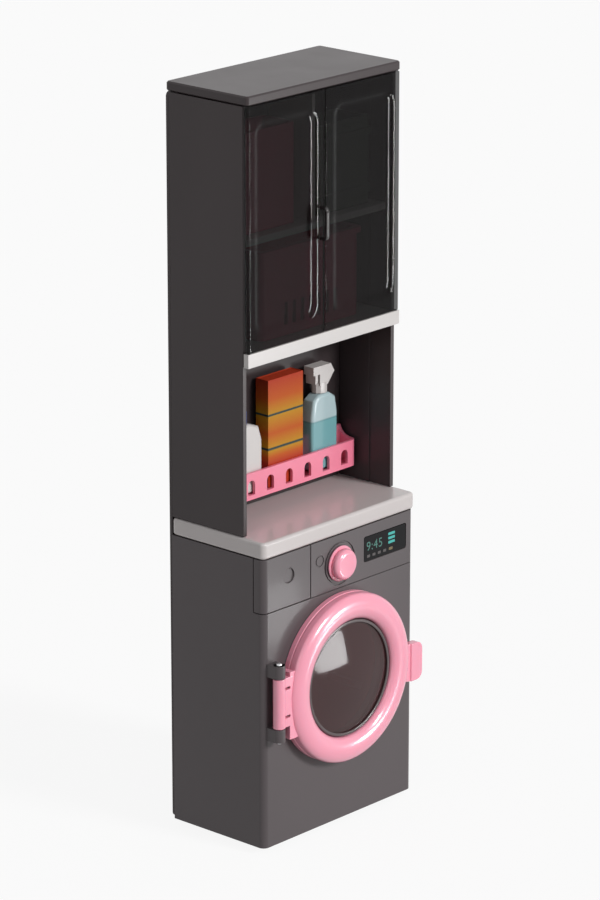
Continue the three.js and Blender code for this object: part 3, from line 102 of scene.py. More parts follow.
class Graph:
    """The node graph of one material, read in Object coordinates."""

    NOISE_LOW = 0.3
    NOISE_HIGH = 0.7

    def __init__(self, name: str) -> None:
        """Starts an empty graph.

        Args:
            name: the material's name.
        """
        self.material = bpy.data.materials.new(name + FINISH)
        self.material.use_nodes = True
        self.tree = self.material.node_tree
        self.tree.nodes.clear()
        self.output = self.add("ShaderNodeOutputMaterial")
        self.surface = self.add("ShaderNodeBsdfPrincipled")
        self.link(self.surface, "BSDF", self.output, "Surface")
        self.place = self.add("ShaderNodeTexCoord")

    def add(self, kind: str, **values: object) -> bpy.types.Node:
        """Adds a node.

        Args:
            kind: the node's type name.
            **values: properties of the node, set as they are.

        Returns:
            The node.
        """
        made = self.tree.nodes.new(kind)
        for name, value in values.items():
            setattr(made, name, value)
        return made

    def link(
        self, source: bpy.types.Node, out: str, target: bpy.types.Node, into: Union[str, int]
    ) -> None:
        """Joins an output to an input, which is given by its name or number."""
        self.tree.links.new(source.outputs[out], target.inputs[into])

    def set(self, **values: object) -> None:
        """Sets inputs of the shader, their names written with underscores for spaces."""
        for name, value in values.items():
            self.surface.inputs[name.replace("_", " ")].default_value = value

    def stretched(self, scale: Point) -> bpy.types.Node:
        """Object coordinates stretched along the axes.

        Args:
            scale: how many times finer the pattern is along each axis.

        Returns:
            The Mapping node.
        """
        mapping = self.add("ShaderNodeMapping")
        mapping.inputs["Scale"].default_value = scale
        self.link(self.place, "Object", mapping, "Vector")
        return mapping

    def noise(
        self, scale: float, detail: float = 3.0, stretch: Optional[Point] = None
    ) -> bpy.types.Node:
        """A noise pattern.

        Args:
            scale: features in a metre.
            detail: octaves.
            stretch: how many times finer it is along each axis.

        Returns:
            The noise node.
        """
        made = self.add("ShaderNodeTexNoise")
        made.inputs["Scale"].default_value = scale
        made.inputs["Detail"].default_value = detail
        if stretch:
            self.link(self.stretched(stretch), "Vector", made, "Vector")
        else:
            self.link(self.place, "Object", made, "Vector")
        return made

    def ranged(self, source: bpy.types.Node, out: str, low: float, high: float, into: str) -> None:
        """Spreads a pattern over a range and feeds it to an input of the shader.

        Args:
            source: the pattern's node.
            out: its output.
            low: the value where the pattern is low.
            high: the value where the pattern is high.
            into: the shader's input.
        """
        spread = self.add("ShaderNodeMapRange")
        spread.inputs["From Min"].default_value = self.NOISE_LOW
        spread.inputs["From Max"].default_value = self.NOISE_HIGH
        spread.inputs["To Min"].default_value = low
        spread.inputs["To Max"].default_value = high
        self.link(source, out, spread, "Value")
        self.link(spread, "Result", self.surface, into)

    def rising(self, low: float, high: float) -> bpy.types.Node:
        """The height as a share that runs from 0 to 1 between two levels.

        Args:
            low: the level where it is 0, in millimetres.
            high: the level where it is 1.

        Returns:
            The Map Range node, whose output is Result.
        """
        place = self.add("ShaderNodeSeparateXYZ")
        self.link(self.place, "Object", place, "Vector")
        share = self.add("ShaderNodeMapRange")
        share.inputs["From Min"].default_value = low * MM
        share.inputs["From Max"].default_value = high * MM
        self.link(place, "Z", share, "Value")
        return share

    def coloured(
        self, source: bpy.types.Node, out: str, stops: Sequence[tuple[float, Colour]]
    ) -> None:
        """Turns a pattern into the base colour through a colour ramp.

        Args:
            source: the pattern's node.
            out: its output.
            stops: positions from 0 to 1, each with its colour.
        """
        ramp = self.add("ShaderNodeValToRGB")
        points = ramp.color_ramp.elements
        while len(points) < len(stops):
            points.new(1.0)
        for point, (position, colour) in zip(points, stops):
            point.position = position
            point.color = (*colour, 1.0)
        self.link(source, out, ramp, "Fac")
        self.link(ramp, "Color", self.surface, "Base Color")

    def mottled(
        self, source: bpy.types.Node, colour: Colour, darkest: float, lightest: float
    ) -> None:
        """Lets a noise pattern shade one colour lightly, as the base colour.

        Args:
            source: the noise node.
            colour: the colour.
            darkest: its factor where the pattern is low.
            lightest: its factor where the pattern is high.
        """
        dark, light = shade(colour, darkest), shade(colour, lightest)
        self.coloured(source, "Fac", [(self.NOISE_LOW, dark), (self.NOISE_HIGH, light)])

    def relief(self, source: bpy.types.Node, out: str, strength: float, depth: float) -> None:
        """Turns a pattern into fine relief.

        Args:
            source: the pattern's node.
            out: its output.
            strength: share of the relief, 0 to 1.
            depth: height of the relief in millimetres.
        """
        bump = self.add("ShaderNodeBump")
        bump.inputs["Strength"].default_value = strength
        bump.inputs["Distance"].default_value = depth * MM
        self.link(source, out, bump, "Height")
        self.link(bump, "Normal", self.surface, "Normal")


def shade(colour: Colour, factor: float) -> Colour:
    """A colour made lighter or darker, with no channel above 1."""
    return tuple(min(1.0, channel * factor) for channel in colour)


@dataclass(frozen=True)
class MouldedPlastic:
    """Injection-moulded plastic with a faint flow mottle and a fine surface grain.

    Args:
        name: the slot's name.
        colour: the base colour.
        roughness: of the plastic itself.
        gloss: weight of the smooth skin over it.
        mottle: how far the colour strays, as a share.
        grain: depth of the surface grain in millimetres.
        grain_per_metre: how fine the grain is.
        glow: share of the light that spreads inside.
        sheen: strength of the reflections, where 0.5 is ordinary plastic.
    """

    name: str
    colour: Colour
    roughness: float = 0.35
    gloss: float = 0.3
    mottle: float = 0.02
    grain: float = 0.003
    grain_per_metre: float = 900.0
    glow: float = 0.0
    sheen: float = 0.5

    def build(self) -> bpy.types.Material:
        """Makes the material.

        Returns:
            The material.
        """
        graph = Graph(self.name)
        flow = graph.noise(scale=16.0, detail=2.0, stretch=(1.0, 1.0, 0.45))
        graph.mottled(flow, self.colour, 1 - self.mottle, 1 + self.mottle)
        worn = graph.noise(scale=55.0)
        graph.ranged(worn, "Fac", self.roughness - 0.015, self.roughness + 0.02, "Roughness")
        fine = graph.noise(self.grain_per_metre, detail=2.0)
        graph.relief(fine, "Fac", strength=0.3, depth=self.grain)
        graph.set(
            Coat_Weight=self.gloss, Coat_Roughness=0.1, IOR=1.5, Specular_IOR_Level=self.sheen
        )
        if self.glow:
            graph.set(Subsurface_Weight=self.glow, Subsurface_Radius=(0.0012, 0.0005, 0.0004))
        return graph.material


@dataclass(frozen=True)
class SmokePlastic:
    """Clear plastic tinted dark, polished, with faint handling marks."""

    name: str
    colour: Colour
    alpha: float
    sheen: float = 0.5

    def build(self) -> bpy.types.Material:
        """Makes the material.

        Returns:
            The material.
        """
        graph = Graph(self.name)
        graph.mottled(graph.noise(scale=24.0), self.colour, 0.85, 1.15)
        marks = graph.noise(scale=60.0, stretch=(1.0, 1.0, 0.3))
        graph.ranged(marks, "Fac", 0.04, 0.08, "Roughness")
        wave = graph.noise(scale=14.0, detail=1.0)
        graph.relief(wave, "Fac", strength=0.1, depth=0.003)
        graph.set(Alpha=self.alpha, IOR=1.49, Specular_IOR_Level=self.sheen)
        return graph.material


@dataclass(frozen=True)
class Rubber:
    """Soft matt moulding."""

    name: str
    colour: Colour

    def build(self) -> bpy.types.Material:
        """Makes the material.

        Returns:
            The material.
        """
        graph = Graph(self.name)
        dust = graph.noise(scale=90.0, detail=6.0)
        graph.coloured(dust, "Fac", [(0.35, self.colour), (0.75, shade(self.colour, 1.25))])
        fine = graph.noise(scale=3200.0, detail=2.0)
        graph.ranged(fine, "Fac", 0.55, 0.72, "Roughness")
        graph.relief(fine, "Fac", strength=0.5, depth=0.03)
        return graph.material


@dataclass(frozen=True)
class PlatedSteel:
    """Bright plated steel with turning marks."""

    name: str
    colour: Colour = (0.6, 0.6, 0.61)

    def build(self) -> bpy.types.Material:
        """Makes the material.

        Returns:
            The material.
        """
        graph = Graph(self.name)
        lines = graph.noise(scale=600.0, stretch=(1.0, 8.0, 1.0))
        graph.mottled(lines, self.colour, 0.85, 1.12)
        graph.ranged(lines, "Fac", 0.22, 0.38, "Roughness")
        graph.relief(lines, "Fac", strength=0.2, depth=0.01)
        graph.set(Metallic=1.0)
        return graph.material


@dataclass(frozen=True)
class PacketCard:
    """Printed card in plain bands: red at the ends, orange and yellow between, two dark rules."""

    name: str
    bottom: float
    height: float
    red: Colour = (0.43, 0.04, 0.014)
    orange: Colour = (0.5, 0.095, 0.012)
    yellow: Colour = (0.5, 0.24, 0.014)
    rule: Colour = (0.02, 0.05, 0.05)

    def build(self) -> bpy.types.Material:
        """Makes the material.

        Returns:
            The material.
        """
        graph = Graph(self.name)
        bands = [
            (0.0, self.red), (0.22, self.red), (0.28, self.orange), (0.34, self.yellow),
            (0.35, self.rule), (0.365, self.rule), (0.37, self.yellow), (0.5, self.orange),
            (0.66, self.yellow), (0.665, self.rule), (0.68, self.rule), (0.685, self.yellow),
            (0.82, self.orange), (1.0, self.red),
        ]
        graph.coloured(graph.rising(self.bottom, self.bottom + self.height), "Result", bands)
        fibre = graph.noise(scale=1400.0, detail=5.0)
        graph.ranged(fibre, "Fac", 0.42, 0.55, "Roughness")
        graph.relief(fibre, "Fac", strength=0.3, depth=0.02)
        graph.set(Specular_IOR_Level=0.12)
        return graph.material


@dataclass(frozen=True)
class TintedBottle:
    """Clear tinted plastic with a deeper tone below the level of what it holds."""

    name: str
    full: Colour
    empty: Colour
    level: float
    blur: float = 0.6

    def build(self) -> bpy.types.Material:
        """Makes the material.

        Returns:
            The material.
        """
        graph = Graph(self.name)
        height = graph.rising(self.level - self.blur, self.level + self.blur)
        tones = [(0.0, self.full), (0.45, shade(self.full, 0.8)), (1.0, self.empty)]
        graph.coloured(height, "Result", tones)
        wave = graph.noise(scale=160.0)
        graph.ranged(wave, "Fac", 0.1, 0.2, "Roughness")
        graph.relief(wave, "Fac", strength=0.3, depth=0.08)
        graph.set(Coat_Weight=0.5, Coat_Roughness=0.05, Transmission_Weight=0.15)
        return graph.material


class Finishes:
    """Every finish of the tower, built once and shared by its pieces."""

    def __init__(self) -> None:
        """Builds the materials."""
        self.grey = MouldedPlastic(
            "grey_plastic", (0.083, 0.0695, 0.073), roughness=0.4, gloss=0.1, sheen=0.32
        ).build()
        self.white = MouldedPlastic(
            "white_plastic", (0.61, 0.58, 0.565), roughness=0.3, gloss=0.2, mottle=0.004,
            grain=0.0015,
        ).build()
        # The slab's finish is the white plastic made a little darker and pinker: painted shade and
        # a painted pink reflection of the rack.
        self.slab = MouldedPlastic(
            "slab_plastic_painted_shade", (0.6, 0.555, 0.545), roughness=0.25, gloss=0.2, mottle=0.004,
            grain=0.0012,
        ).build()
        self.black = MouldedPlastic(
            "black_plastic", (0.043, 0.0325, 0.034), roughness=0.36, gloss=0.0, mottle=0.1,
            sheen=0.3,
        ).build()
        self.bow = MouldedPlastic(
            "handle_plastic", (0.017, 0.013, 0.013), roughness=0.16, gloss=0.2, mottle=0.05,
            grain=0.001,
        ).build()
        self.foot = MouldedPlastic(
            "foot_plastic", (0.02, 0.02, 0.02), roughness=0.55, gloss=0.0
        ).build()
        self.pink = MouldedPlastic(
            "pink_plastic", (0.95, 0.36, 0.475), roughness=0.24, gloss=0.4, mottle=0.012,
            grain=0.002, glow=0.12,
        ).build()
        self.rack = MouldedPlastic(
            "rack_plastic", (0.87, 0.22, 0.33), roughness=0.3, glow=0.06
        ).build()
        self.rose = MouldedPlastic(
            "rose_plastic", (0.58, 0.026, 0.11), roughness=0.34, mottle=0.03
        ).build()
        self.red = MouldedPlastic(
            "red_plastic", (0.6, 0.02, 0.07), roughness=0.3, mottle=0.03
        ).build()
        self.lens = SmokePlastic("smoke_lens", (0.066, 0.028, 0.029), alpha=0.64).build()
        self.smoke = SmokePlastic(
            "smoke_door", (0.003, 0.002, 0.002), alpha=0.64, sheen=0.17
        ).build()
        self.bead = MouldedPlastic(
            "bead_grey", (0.07, 0.05, 0.052), roughness=0.22, gloss=0.2, grain=0.001
        ).build()
        self.display = MouldedPlastic(
            "display", (0.008, 0.008, 0.009), roughness=0.12, gloss=0.0, mottle=0.1, grain=0.001,
            sheen=0.15,
        ).build()
        self.digit = self.print_on_display("display_digits", (0.035, 0.17, 0.135))
        self.cyan = self.print_on_display("display_bars", (0.03, 0.42, 0.38))
        self.mark = self.print_on_display("display_marks", (0.052, 0.043, 0.043))
        self.amber = self.print_on_display("display_amber", (0.14, 0.1, 0.03))
        self.seal = Rubber("seal", (0.07, 0.07, 0.072)).build()
        self.natural = MouldedPlastic(
            "natural_plastic", (0.72, 0.68, 0.6), roughness=0.45, gloss=0.0
        ).build()
        self.green = MouldedPlastic(
            "green_plastic", (0.022, 0.06, 0.024), roughness=0.42, gloss=0.1, mottle=0.06
        ).build()
        self.blue = MouldedPlastic("blue_plastic", (0.035, 0.12, 0.5), roughness=0.3).build()
        self.turquoise = TintedBottle(
            "turquoise_plastic", full=(0.2, 0.46, 0.49), empty=(0.52, 0.67, 0.7), level=167.0
        ).build()
        self.card = PacketCard("box_card", bottom=145.3, height=46.2).build()
        self.steel = PlatedSteel("steel").build()

    def print_on_display(self, name: str, colour: Colour) -> bpy.types.Material:
        """A plain print colour of the display's figures and marks."""
        return MouldedPlastic(name, colour, roughness=0.3, gloss=0.0).build()


# Modelling


@contextmanager
def editing(thing: bpy.types.Object, mode: str = "FACE") -> Iterator[bmesh.types.BMesh]:
    """Opens one object alone in edit mode with nothing selected.

    Args:
        thing: the object.
        mode: VERT, EDGE or FACE.

    Yields:
        The object's edit mesh.
    """
    bpy.ops.object.select_all(action="DESELECT")
    thing.select_set(True)
    bpy.context.view_layer.objects.active = thing
    bpy.ops.object.mode_set(mode="EDIT")
    bpy.ops.mesh.select_mode(type=mode)
    bpy.ops.mesh.select_all(action="DESELECT")
    yield bmesh.from_edit_mesh(thing.data)
    bpy.ops.object.mode_set(mode="OBJECT")


def metres(point: Sequence[float]) -> Vector:
    """A place in millimetres as metres."""
    return Vector(point) * MM


Test = Callable[[Vector, Vector], bool]


class Piece:
    """One solid on the bench: a Blender object, and the tools that shape it in millimetres."""

    FLAT = 0.6

    def __init__(self, name: str, thing: bpy.types.Object) -> None:
        """Takes an object and moves its place into its mesh.

        Args:
            name: the piece's name.
            thing: the object.
        """
        self.thing = thing
        thing.name = name
        thing.data.name = name
        self._select()
        bpy.ops.object.transform_apply(location=True, rotation=True, scale=True)

    @classmethod
    def block(cls, name: str, x: Span, y: Span, z: Span) -> "Piece":
        """A block between two corners.

        Args:
            name: the piece's name.
            x: its left and right side.
            y: its front and back.
            z: its lower and upper side.

        Returns:
            The piece.
        """
        low, high = metres((x[0], y[0], z[0])), metres((x[1], y[1], z[1]))
        bpy.ops.object.select_all(action="DESELECT")
        bpy.ops.mesh.primitive_cube_add(size=1, location=(low + high) / 2)
        bpy.context.object.scale = high - low
        return cls(name, bpy.context.object)

    @classmethod
    def rod(
        cls, name: str, radius: float, ends: Span, at: Point, axis: Axis = Axis.Z, sides: int = 40
    ) -> "Piece":
        """A round bar.

        Args:
            name: the piece's name.
            radius: its radius.
            ends: where it starts and stops along its axis.
            at: a point on its axis.
            axis: the direction that it runs in.
            sides: facets round it.

        Returns:
            The piece.
        """
        direction = Vector(axis.value)
        middle = metres(at)
        along = sum(ends) / 2 * MM
        for index in range(3):
            if direction[index]:
                middle[index] = along
        bpy.ops.object.select_all(action="DESELECT")
        bpy.ops.mesh.primitive_cylinder_add(
            vertices=sides, radius=radius * MM, depth=(ends[1] - ends[0]) * MM, location=middle,
            rotation=Vector((0, 0, 1)).rotation_difference(direction).to_euler(),
        )
        return cls(name, bpy.context.object)

    @classmethod
    def spun(
        cls, name: str, profile: Sequence[Span], at: Point, axis: Axis = Axis.Y, steps: int = 96,
        closed: bool = True,
    ) -> "Piece":
        """A profile traced point by point by extruding a vertex, then spun about an axis.

        Args:
            name: the piece's name.
            profile: points of radius and place along the axis.
            at: a point on the axis.
            axis: the axis, Y or Z.
            steps: facets round it.
            closed: whether the last point joins the first; otherwise both ends are on the axis.

        Returns:
            The piece.
        """
        centre = metres(at)
        if axis is Axis.Y:
            places = [Vector((centre.x + r * MM, a * MM, centre.z)) for r, a in profile]
        else:
            places = [Vector((centre.x + r * MM, centre.y, a * MM)) for r, a in profile]
        bpy.ops.object.select_all(action="DESELECT")
        bpy.ops.mesh.primitive_plane_add(size=MM, location=places[0])
        thing = bpy.context.object
        with editing(thing, "VERT"):
            bpy.ops.mesh.select_all(action="SELECT")
            bpy.ops.mesh.merge(type="CENTER")
            for here, there in zip(places, places[1:]):
                bpy.ops.mesh.extrude_region_move(TRANSFORM_OT_translate={"value": there - here})
            if closed:
                bpy.ops.mesh.extrude_region_move(
                    TRANSFORM_OT_translate={"value": places[0] - places[-1]}
                )
            bpy.ops.mesh.select_all(action="SELECT")
            bpy.ops.mesh.remove_doubles(threshold=WELD * MM)
            bpy.ops.mesh.spin(steps=steps, angle=TURN, center=centre, axis=axis.value)
            bpy.ops.mesh.select_all(action="SELECT")
            bpy.ops.mesh.remove_doubles(threshold=WELD * MM)
            bpy.ops.mesh.normals_make_consistent(inside=False)
        return cls(name, thing)

    @classmethod
    def plate(cls, name: str, x: Span, z: Span, y: Span, corner: float, steps: int = 8) -> "Piece":
        """A plate that faces the front, its corners rounded as seen from there.

        Args:
            name: the piece's name.
            x: its width.
            z: its height.
            y: its front and back.
            corner: radius of its corners.
            steps: facets of a corner.

        Returns:
            The piece.
        """
        made = cls.block(name, x, y, z)
        made.round_edges(
            lambda a, b: abs((a - b).y) > abs((a - b).x) + abs((a - b).z), corner, steps
        )
        return made

    @classmethod
    def from_frame(cls, node: str, suffix: str = "_eased") -> "Piece":
        """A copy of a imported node, its triangles merged into whole faces.

        Args:
            node: the node.
            suffix: what the copy's name adds to the node's.

        Returns:
            The piece.
        """
        source = bpy.data.objects[node]
        thing = bpy.data.objects.new(node + suffix, source.data.copy())
        bpy.context.scene.collection.objects.link(thing)
        made = cls(node + suffix, thing)
        with editing(thing):
            bpy.ops.mesh.select_all(action="SELECT")
            bpy.ops.mesh.remove_doubles(threshold=WELD * MM)
            bpy.ops.mesh.dissolve_limited(angle_limit=math.radians(cls.FLAT))
        return made

    def _select(self) -> None:
        """Makes this the one selected and active object."""
        bpy.ops.object.select_all(action="DESELECT")
        self.thing.select_set(True)
        bpy.context.view_layer.objects.active = self.thing

    def _apply(self, modifier: bpy.types.Modifier) -> None:
        """Applies a modifier to the mesh."""
        self._select()
        bpy.ops.object.modifier_apply(modifier=modifier.name)

    def round_edges(self, wanted: Test, width: float, steps: int = 4) -> "Piece":
        """Bevels the edges whose two ends pass a test.

        Args:
            wanted: a test of an edge's ends, in metres.
            width: the bevel's width.
            steps: its segments.

        Returns:
            This piece.
        """
        with editing(self.thing, "EDGE") as mesh:
            for edge in mesh.edges:
                if wanted(*(v.co for v in edge.verts)):
                    edge.select_set(True)
            mesh.select_flush_mode()
            bpy.ops.mesh.bevel(
                offset=width * MM, segments=steps, affect="EDGES", clamp_overlap=True
            )
        return self

    @contextmanager
    def _on_faces(self, wanted: Test) -> Iterator[None]:
        """Opens the piece in edit mode with some of its faces selected.

        Args:
            wanted: a test of a face's middle, in millimetres, and its normal.

        Yields:
            Nothing, while the faces are selected.
        """
        chosen = [
            face.index for face in self.thing.data.polygons if wanted(face.center / MM, face.normal)
        ]
        with editing(self.thing) as mesh:
            mesh.faces.ensure_lookup_table()
            for index in chosen:
                mesh.faces[index].select_set(True)
            yield

    def sunk(self, wanted: Test, margin: float, depth: float) -> "Piece":
        """Insets faces and moves them in.

        Args:
            wanted: a test of a face's middle and its normal.
            margin: the rim that stays round them.
            depth: how far they move.

        Returns:
            This piece.
        """
        with self._on_faces(wanted):
            bpy.ops.mesh.inset(thickness=margin * MM, depth=0)
            bpy.ops.mesh.inset(thickness=0, depth=-depth * MM)
        return self

    def extruded(self, wanted: Test, distance: Point) -> "Piece":
        """Extrudes faces by a distance.

        Args:
            wanted: a test of a face's middle and its normal.
            distance: how far along each axis.

        Returns:
            This piece.
        """
        with self._on_faces(wanted):
            bpy.ops.mesh.extrude_region_move(TRANSFORM_OT_translate={"value": metres(distance)})
        return self

    def scaled_faces(self, wanted: Test, share: Point, centre: Point) -> "Piece":
        """Draws faces towards a centre, for a taper.

        Args:
            wanted: a test of a face's middle and its normal.
            share: the size that is left along each axis.
            centre: the place that they are drawn to.

        Returns:
            This piece.
        """
        with self._on_faces(wanted):
            bpy.ops.transform.resize(value=share, center_override=metres(centre))
        return self

    def combined(self, others: Sequence["Piece"], operation: str) -> "Piece":
        """Adds or takes away other pieces, which are used up.

        Args:
            others: the other pieces.
            operation: UNION or DIFFERENCE.

        Returns:
            This piece.
        """
        for other in others:
            modifier = self.thing.modifiers.new("tool", "BOOLEAN")
            modifier.operation = operation
            modifier.solver = "EXACT"
            modifier.object = other.thing
            self._apply(modifier)
            bpy.data.objects.remove(other.thing)
        return self

    def cut(self, *tools: "Piece") -> "Piece":
        """Takes other pieces away from this one."""
        return self.combined(tools, "DIFFERENCE")

    def joined(self, *others: "Piece") -> "Piece":
        """Adds other pieces to this one."""
        return self.combined(others, "UNION")

    def eased(self, width: float, steps: int = 2, angle: float = 32.0) -> "Piece":
        """Softens every sharp edge with a bevel and smooths the shading.

        Args:
            width: the bevel's width.
            steps: its segments.
            angle: the least angle between faces that counts as sharp, in degrees.

        Returns:
            This piece.
        """
        modifier = self.thing.modifiers.new("ease", "BEVEL")
        modifier.width = width * MM
        modifier.segments = steps
        modifier.limit_method = "ANGLE"
        modifier.angle_limit = math.radians(angle)
        modifier.use_clamp_overlap = True
        modifier.miter_outer = "MITER_ARC"
        self._apply(modifier)
        return self.smooth(flats=True)

    def smooth(self, angle: float = 38.0, flats: bool = False) -> "Piece":
        """Smooths the shading where faces meet at less than an angle.

        Args:
            angle: the least angle that stays sharp.
            flats: whether wide faces stay flat up to the bevels beside them.

        Returns:
            This piece.
        """
        self._select()
        bpy.ops.object.shade_smooth_by_angle(angle=math.radians(angle))
        if flats:
            modifier = self.thing.modifiers.new("flats", "WEIGHTED_NORMAL")
            modifier.keep_sharp = True
            modifier.weight = 100
            self._apply(modifier)
        return self

    def copied(self, name: str, shift: Point) -> "Piece":
        """A copy with its own mesh, moved by a distance.

        Args:
            name: the copy's name.
            shift: how far along each axis.

        Returns:
            The copy.
        """
        thing = bpy.data.objects.new(name, self.thing.data.copy())
        thing.data.transform(Matrix.Translation(metres(shift)))
        bpy.context.scene.collection.objects.link(thing)
        return Piece(name, thing)

    def mirrored(self, name: str) -> "Piece":
        """A copy with its own mesh on the other side of the middle.

        Args:
            name: the copy's name.

        Returns:
            The copy.
        """
        thing = bpy.data.objects.new(name, self.thing.data.copy())
        thing.data.transform(Matrix.Scale(-1, 4, (1, 0, 0)))
        thing.data.flip_normals()
        bpy.context.scene.collection.objects.link(thing)
        return Piece(name, thing)

    def finished(
        self, material: bpy.types.Material, body: Body, *nodes: str, slot: Optional[str] = None
    ) -> bpy.types.Object:
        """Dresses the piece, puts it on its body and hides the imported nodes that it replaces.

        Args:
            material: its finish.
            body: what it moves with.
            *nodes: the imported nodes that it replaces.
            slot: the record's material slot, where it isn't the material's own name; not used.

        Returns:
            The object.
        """
        self.thing.data.materials.clear()
        self.thing.data.materials.append(material)
        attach(self.thing, body.value)
        if nodes:
            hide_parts(*nodes)
        log.info("%s: %d faces", self.thing.name, len(self.thing.data.polygons))
        return self.thing


def arc(centre: Span, radius: float, start: float, end: float, steps: int) -> list[Span]:
    """Points of an arc in a profile.

    Args:
        centre: its centre, a radius and a place along the axis.
        radius: its own radius.
        start: where it starts, in degrees from the outward direction.
        end: where it ends.
        steps: how many parts it has.

    Returns:
        The points.
    """
    turns = [math.radians(start + (end - start) * i / steps) for i in range(steps + 1)]
    return [(centre[0] + radius * math.cos(t), centre[1] + radius * math.sin(t)) for t in turns]


# Sub-assemblies


@dataclass
class WasherHousing:
    """The grey housing, the white slab on it, the feet and the drawer."""

    finishes: Finishes
    face_y: float = -22.2
    foot_profile: tuple[Span, ...] = (
        (0, 0), (3.9, 0), (4.3, 0.12), (4.5, 0.45), (4.5, 2.4), (4.2, 2.7), (2, 2.7), (2, 4.8),
        (1.8, 5), (0, 5),
    )
    mouth_z: float = 67.5
    seal_mouth: float = 26.4
    seal_sleeve: float = 27.7
    seal_flange: float = 30.5
    seal_flange_y: Span = (-19.9, -18.7)

    def build(self) -> None:
        """Builds and dresses the housing's pieces."""
        self.build_skins()
        self.build_feet()
        self.build_seal()

    def build_skins(self) -> None:
        """Eases the housing's own mouldings."""
        grey = self.finishes.grey
        for node in ("washer_shell", "control_panel", "washer_base"):
            Piece.from_frame(node).eased(0.25).finished(grey, Body.TOWER, node)
        Piece.from_frame("detergent_drawer").eased(0.25).finished(
            grey, Body.DRAWER, "detergent_drawer"
        )
        Piece.from_frame("drawer_runner").eased(0.2).finished(
            self.finishes.natural, Body.TOWER, "drawer_runner"
        )
        # The slab is dressed in the darker, pinker copy of the white plastic, which paints shade
        # and the rack's pink reflection.
        Piece.from_frame("washer_top").eased(0.5, 3, 20).finished(
            self.finishes.slab, Body.TOWER, "washer_top", slot="white_plastic"
        )

    def build_feet(self) -> None:
        """Turns one foot and copies it to the four corners."""
        foot = Piece.spun("foot_pattern", self.foot_profile, (0, 0, 0), Axis.Z, 48, closed=False)
        foot.smooth()
        for where in ("front_left", "front_right", "back_left", "back_right"):
            low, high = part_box("foot_" + where)
            middle = (low + high) / 2 / MM
            made = foot.copied("foot_%s_turned" % where, (middle.x, middle.y, 0))
            made.finished(self.finishes.foot, Body.TOWER, "foot_" + where)
        bpy.data.objects.remove(foot.thing)

    def build_seal(self) -> None:
        """Turns the bush round the drum's opening."""
        front, mouth = self.face_y, self.seal_mouth
        sleeve, flange = self.seal_sleeve, self.seal_flange
        near, far = self.seal_flange_y
        profile = [
            (mouth, front + 0.5), (mouth + 0.5, front), (sleeve, front), (sleeve, near),
            (flange - 0.2, near), (flange, near + 0.2), (flange, far - 0.2), (flange - 0.2, far),
            (mouth + 0.2, far), (mouth, far - 0.2),
        ]
        place = (0, 0, self.mouth_z)
        Piece.spun("door_seal_turned", profile, place, Axis.Y, 112).smooth().finished(
            self.finishes.seal, Body.TOWER, "door_seal"
        )


@dataclass
class Display:
    """The black display window with plain figures, bars and marks on it."""

    finishes: Finishes
    x: Span = (15.4, 41.6)
    y: Span = (-22.1, -21.3)
    z: Span = (113.2, 123.8)
    corner: float = 1.0
    clock: str = "9:45"
    clock_size: float = 5.6
    clock_at: Span = (16.8, 117.5)
    bars: int = 3
    bar_x: Span = (30.6, 34.8)
    bar_low: float = 117.4
    bar_pitch: float = 1.85
    bar_height: float = 1.15
    marks: int = 4
    mark_left: float = 17.2
    mark_pitch: float = 3.4
    mark_width: float = 1.9
    mark_z: Span = (114.5, 115.7)
    mark_corner: float = 0.3
    amber_x: Span = (31.0, 33.4)

    def build(self) -> None:
        """Builds the window, the figures and the marks."""
        window = Piece.plate("display_glass", self.x, self.z, self.y, self.corner)
        window.eased(0.12).finished(
            self.finishes.display, Body.TOWER, "display_window", slot="display"
        )
        self.build_clock()
        for index in range(self.bars):
            low = self.bar_low + index * self.bar_pitch
            rise = (low, low + self.bar_height)
            self.flat_mark("bar_%d" % index, self.bar_x, rise, self.finishes.cyan)
        for index in range(self.marks):
            left = self.mark_left + index * self.mark_pitch
            wide = (left, left + self.mark_width)
            self.flat_mark("mark_%d" % index, wide, self.mark_z, self.finishes.mark)
        self.flat_mark("amber_mark", self.amber_x, self.mark_z, self.finishes.amber)

    def flat_mark(self, name: str, x: Span, z: Span, material: bpy.types.Material) -> None:
        """A small printed mark on the display, with rounded ends.

        Args:
            name: what its name adds to the display's.
            x: its left and right end.
            z: its lower and upper edge.
            material: its colour.
        """
        thick = (self.y[0] - 0.03, self.y[0] + 0.05)
        made = Piece.plate("display_" + name, x, z, thick, self.mark_corner, 3)
        made.finished(material, Body.TOWER, slot="display")

    def build_clock(self) -> None:
        """Prints the clock's figures, half sunk in the window."""
        left, low = self.clock_at
        bpy.ops.object.select_all(action="DESELECT")
        bpy.ops.object.text_add(
            location=metres((left, self.y[0] + 0.03, low)), rotation=(math.pi / 2, 0, 0)
        )
        thing = bpy.context.object
        thing.data.body = self.clock
        thing.data.size = self.clock_size * MM
        thing.data.extrude = 0.04 * MM
        thing.data.space_character = 1.08
        bpy.ops.object.convert(target="MESH")
        Piece("display_figures", bpy.context.object).finished(
            self.finishes.digit, Body.TOWER, slot="display"
        )


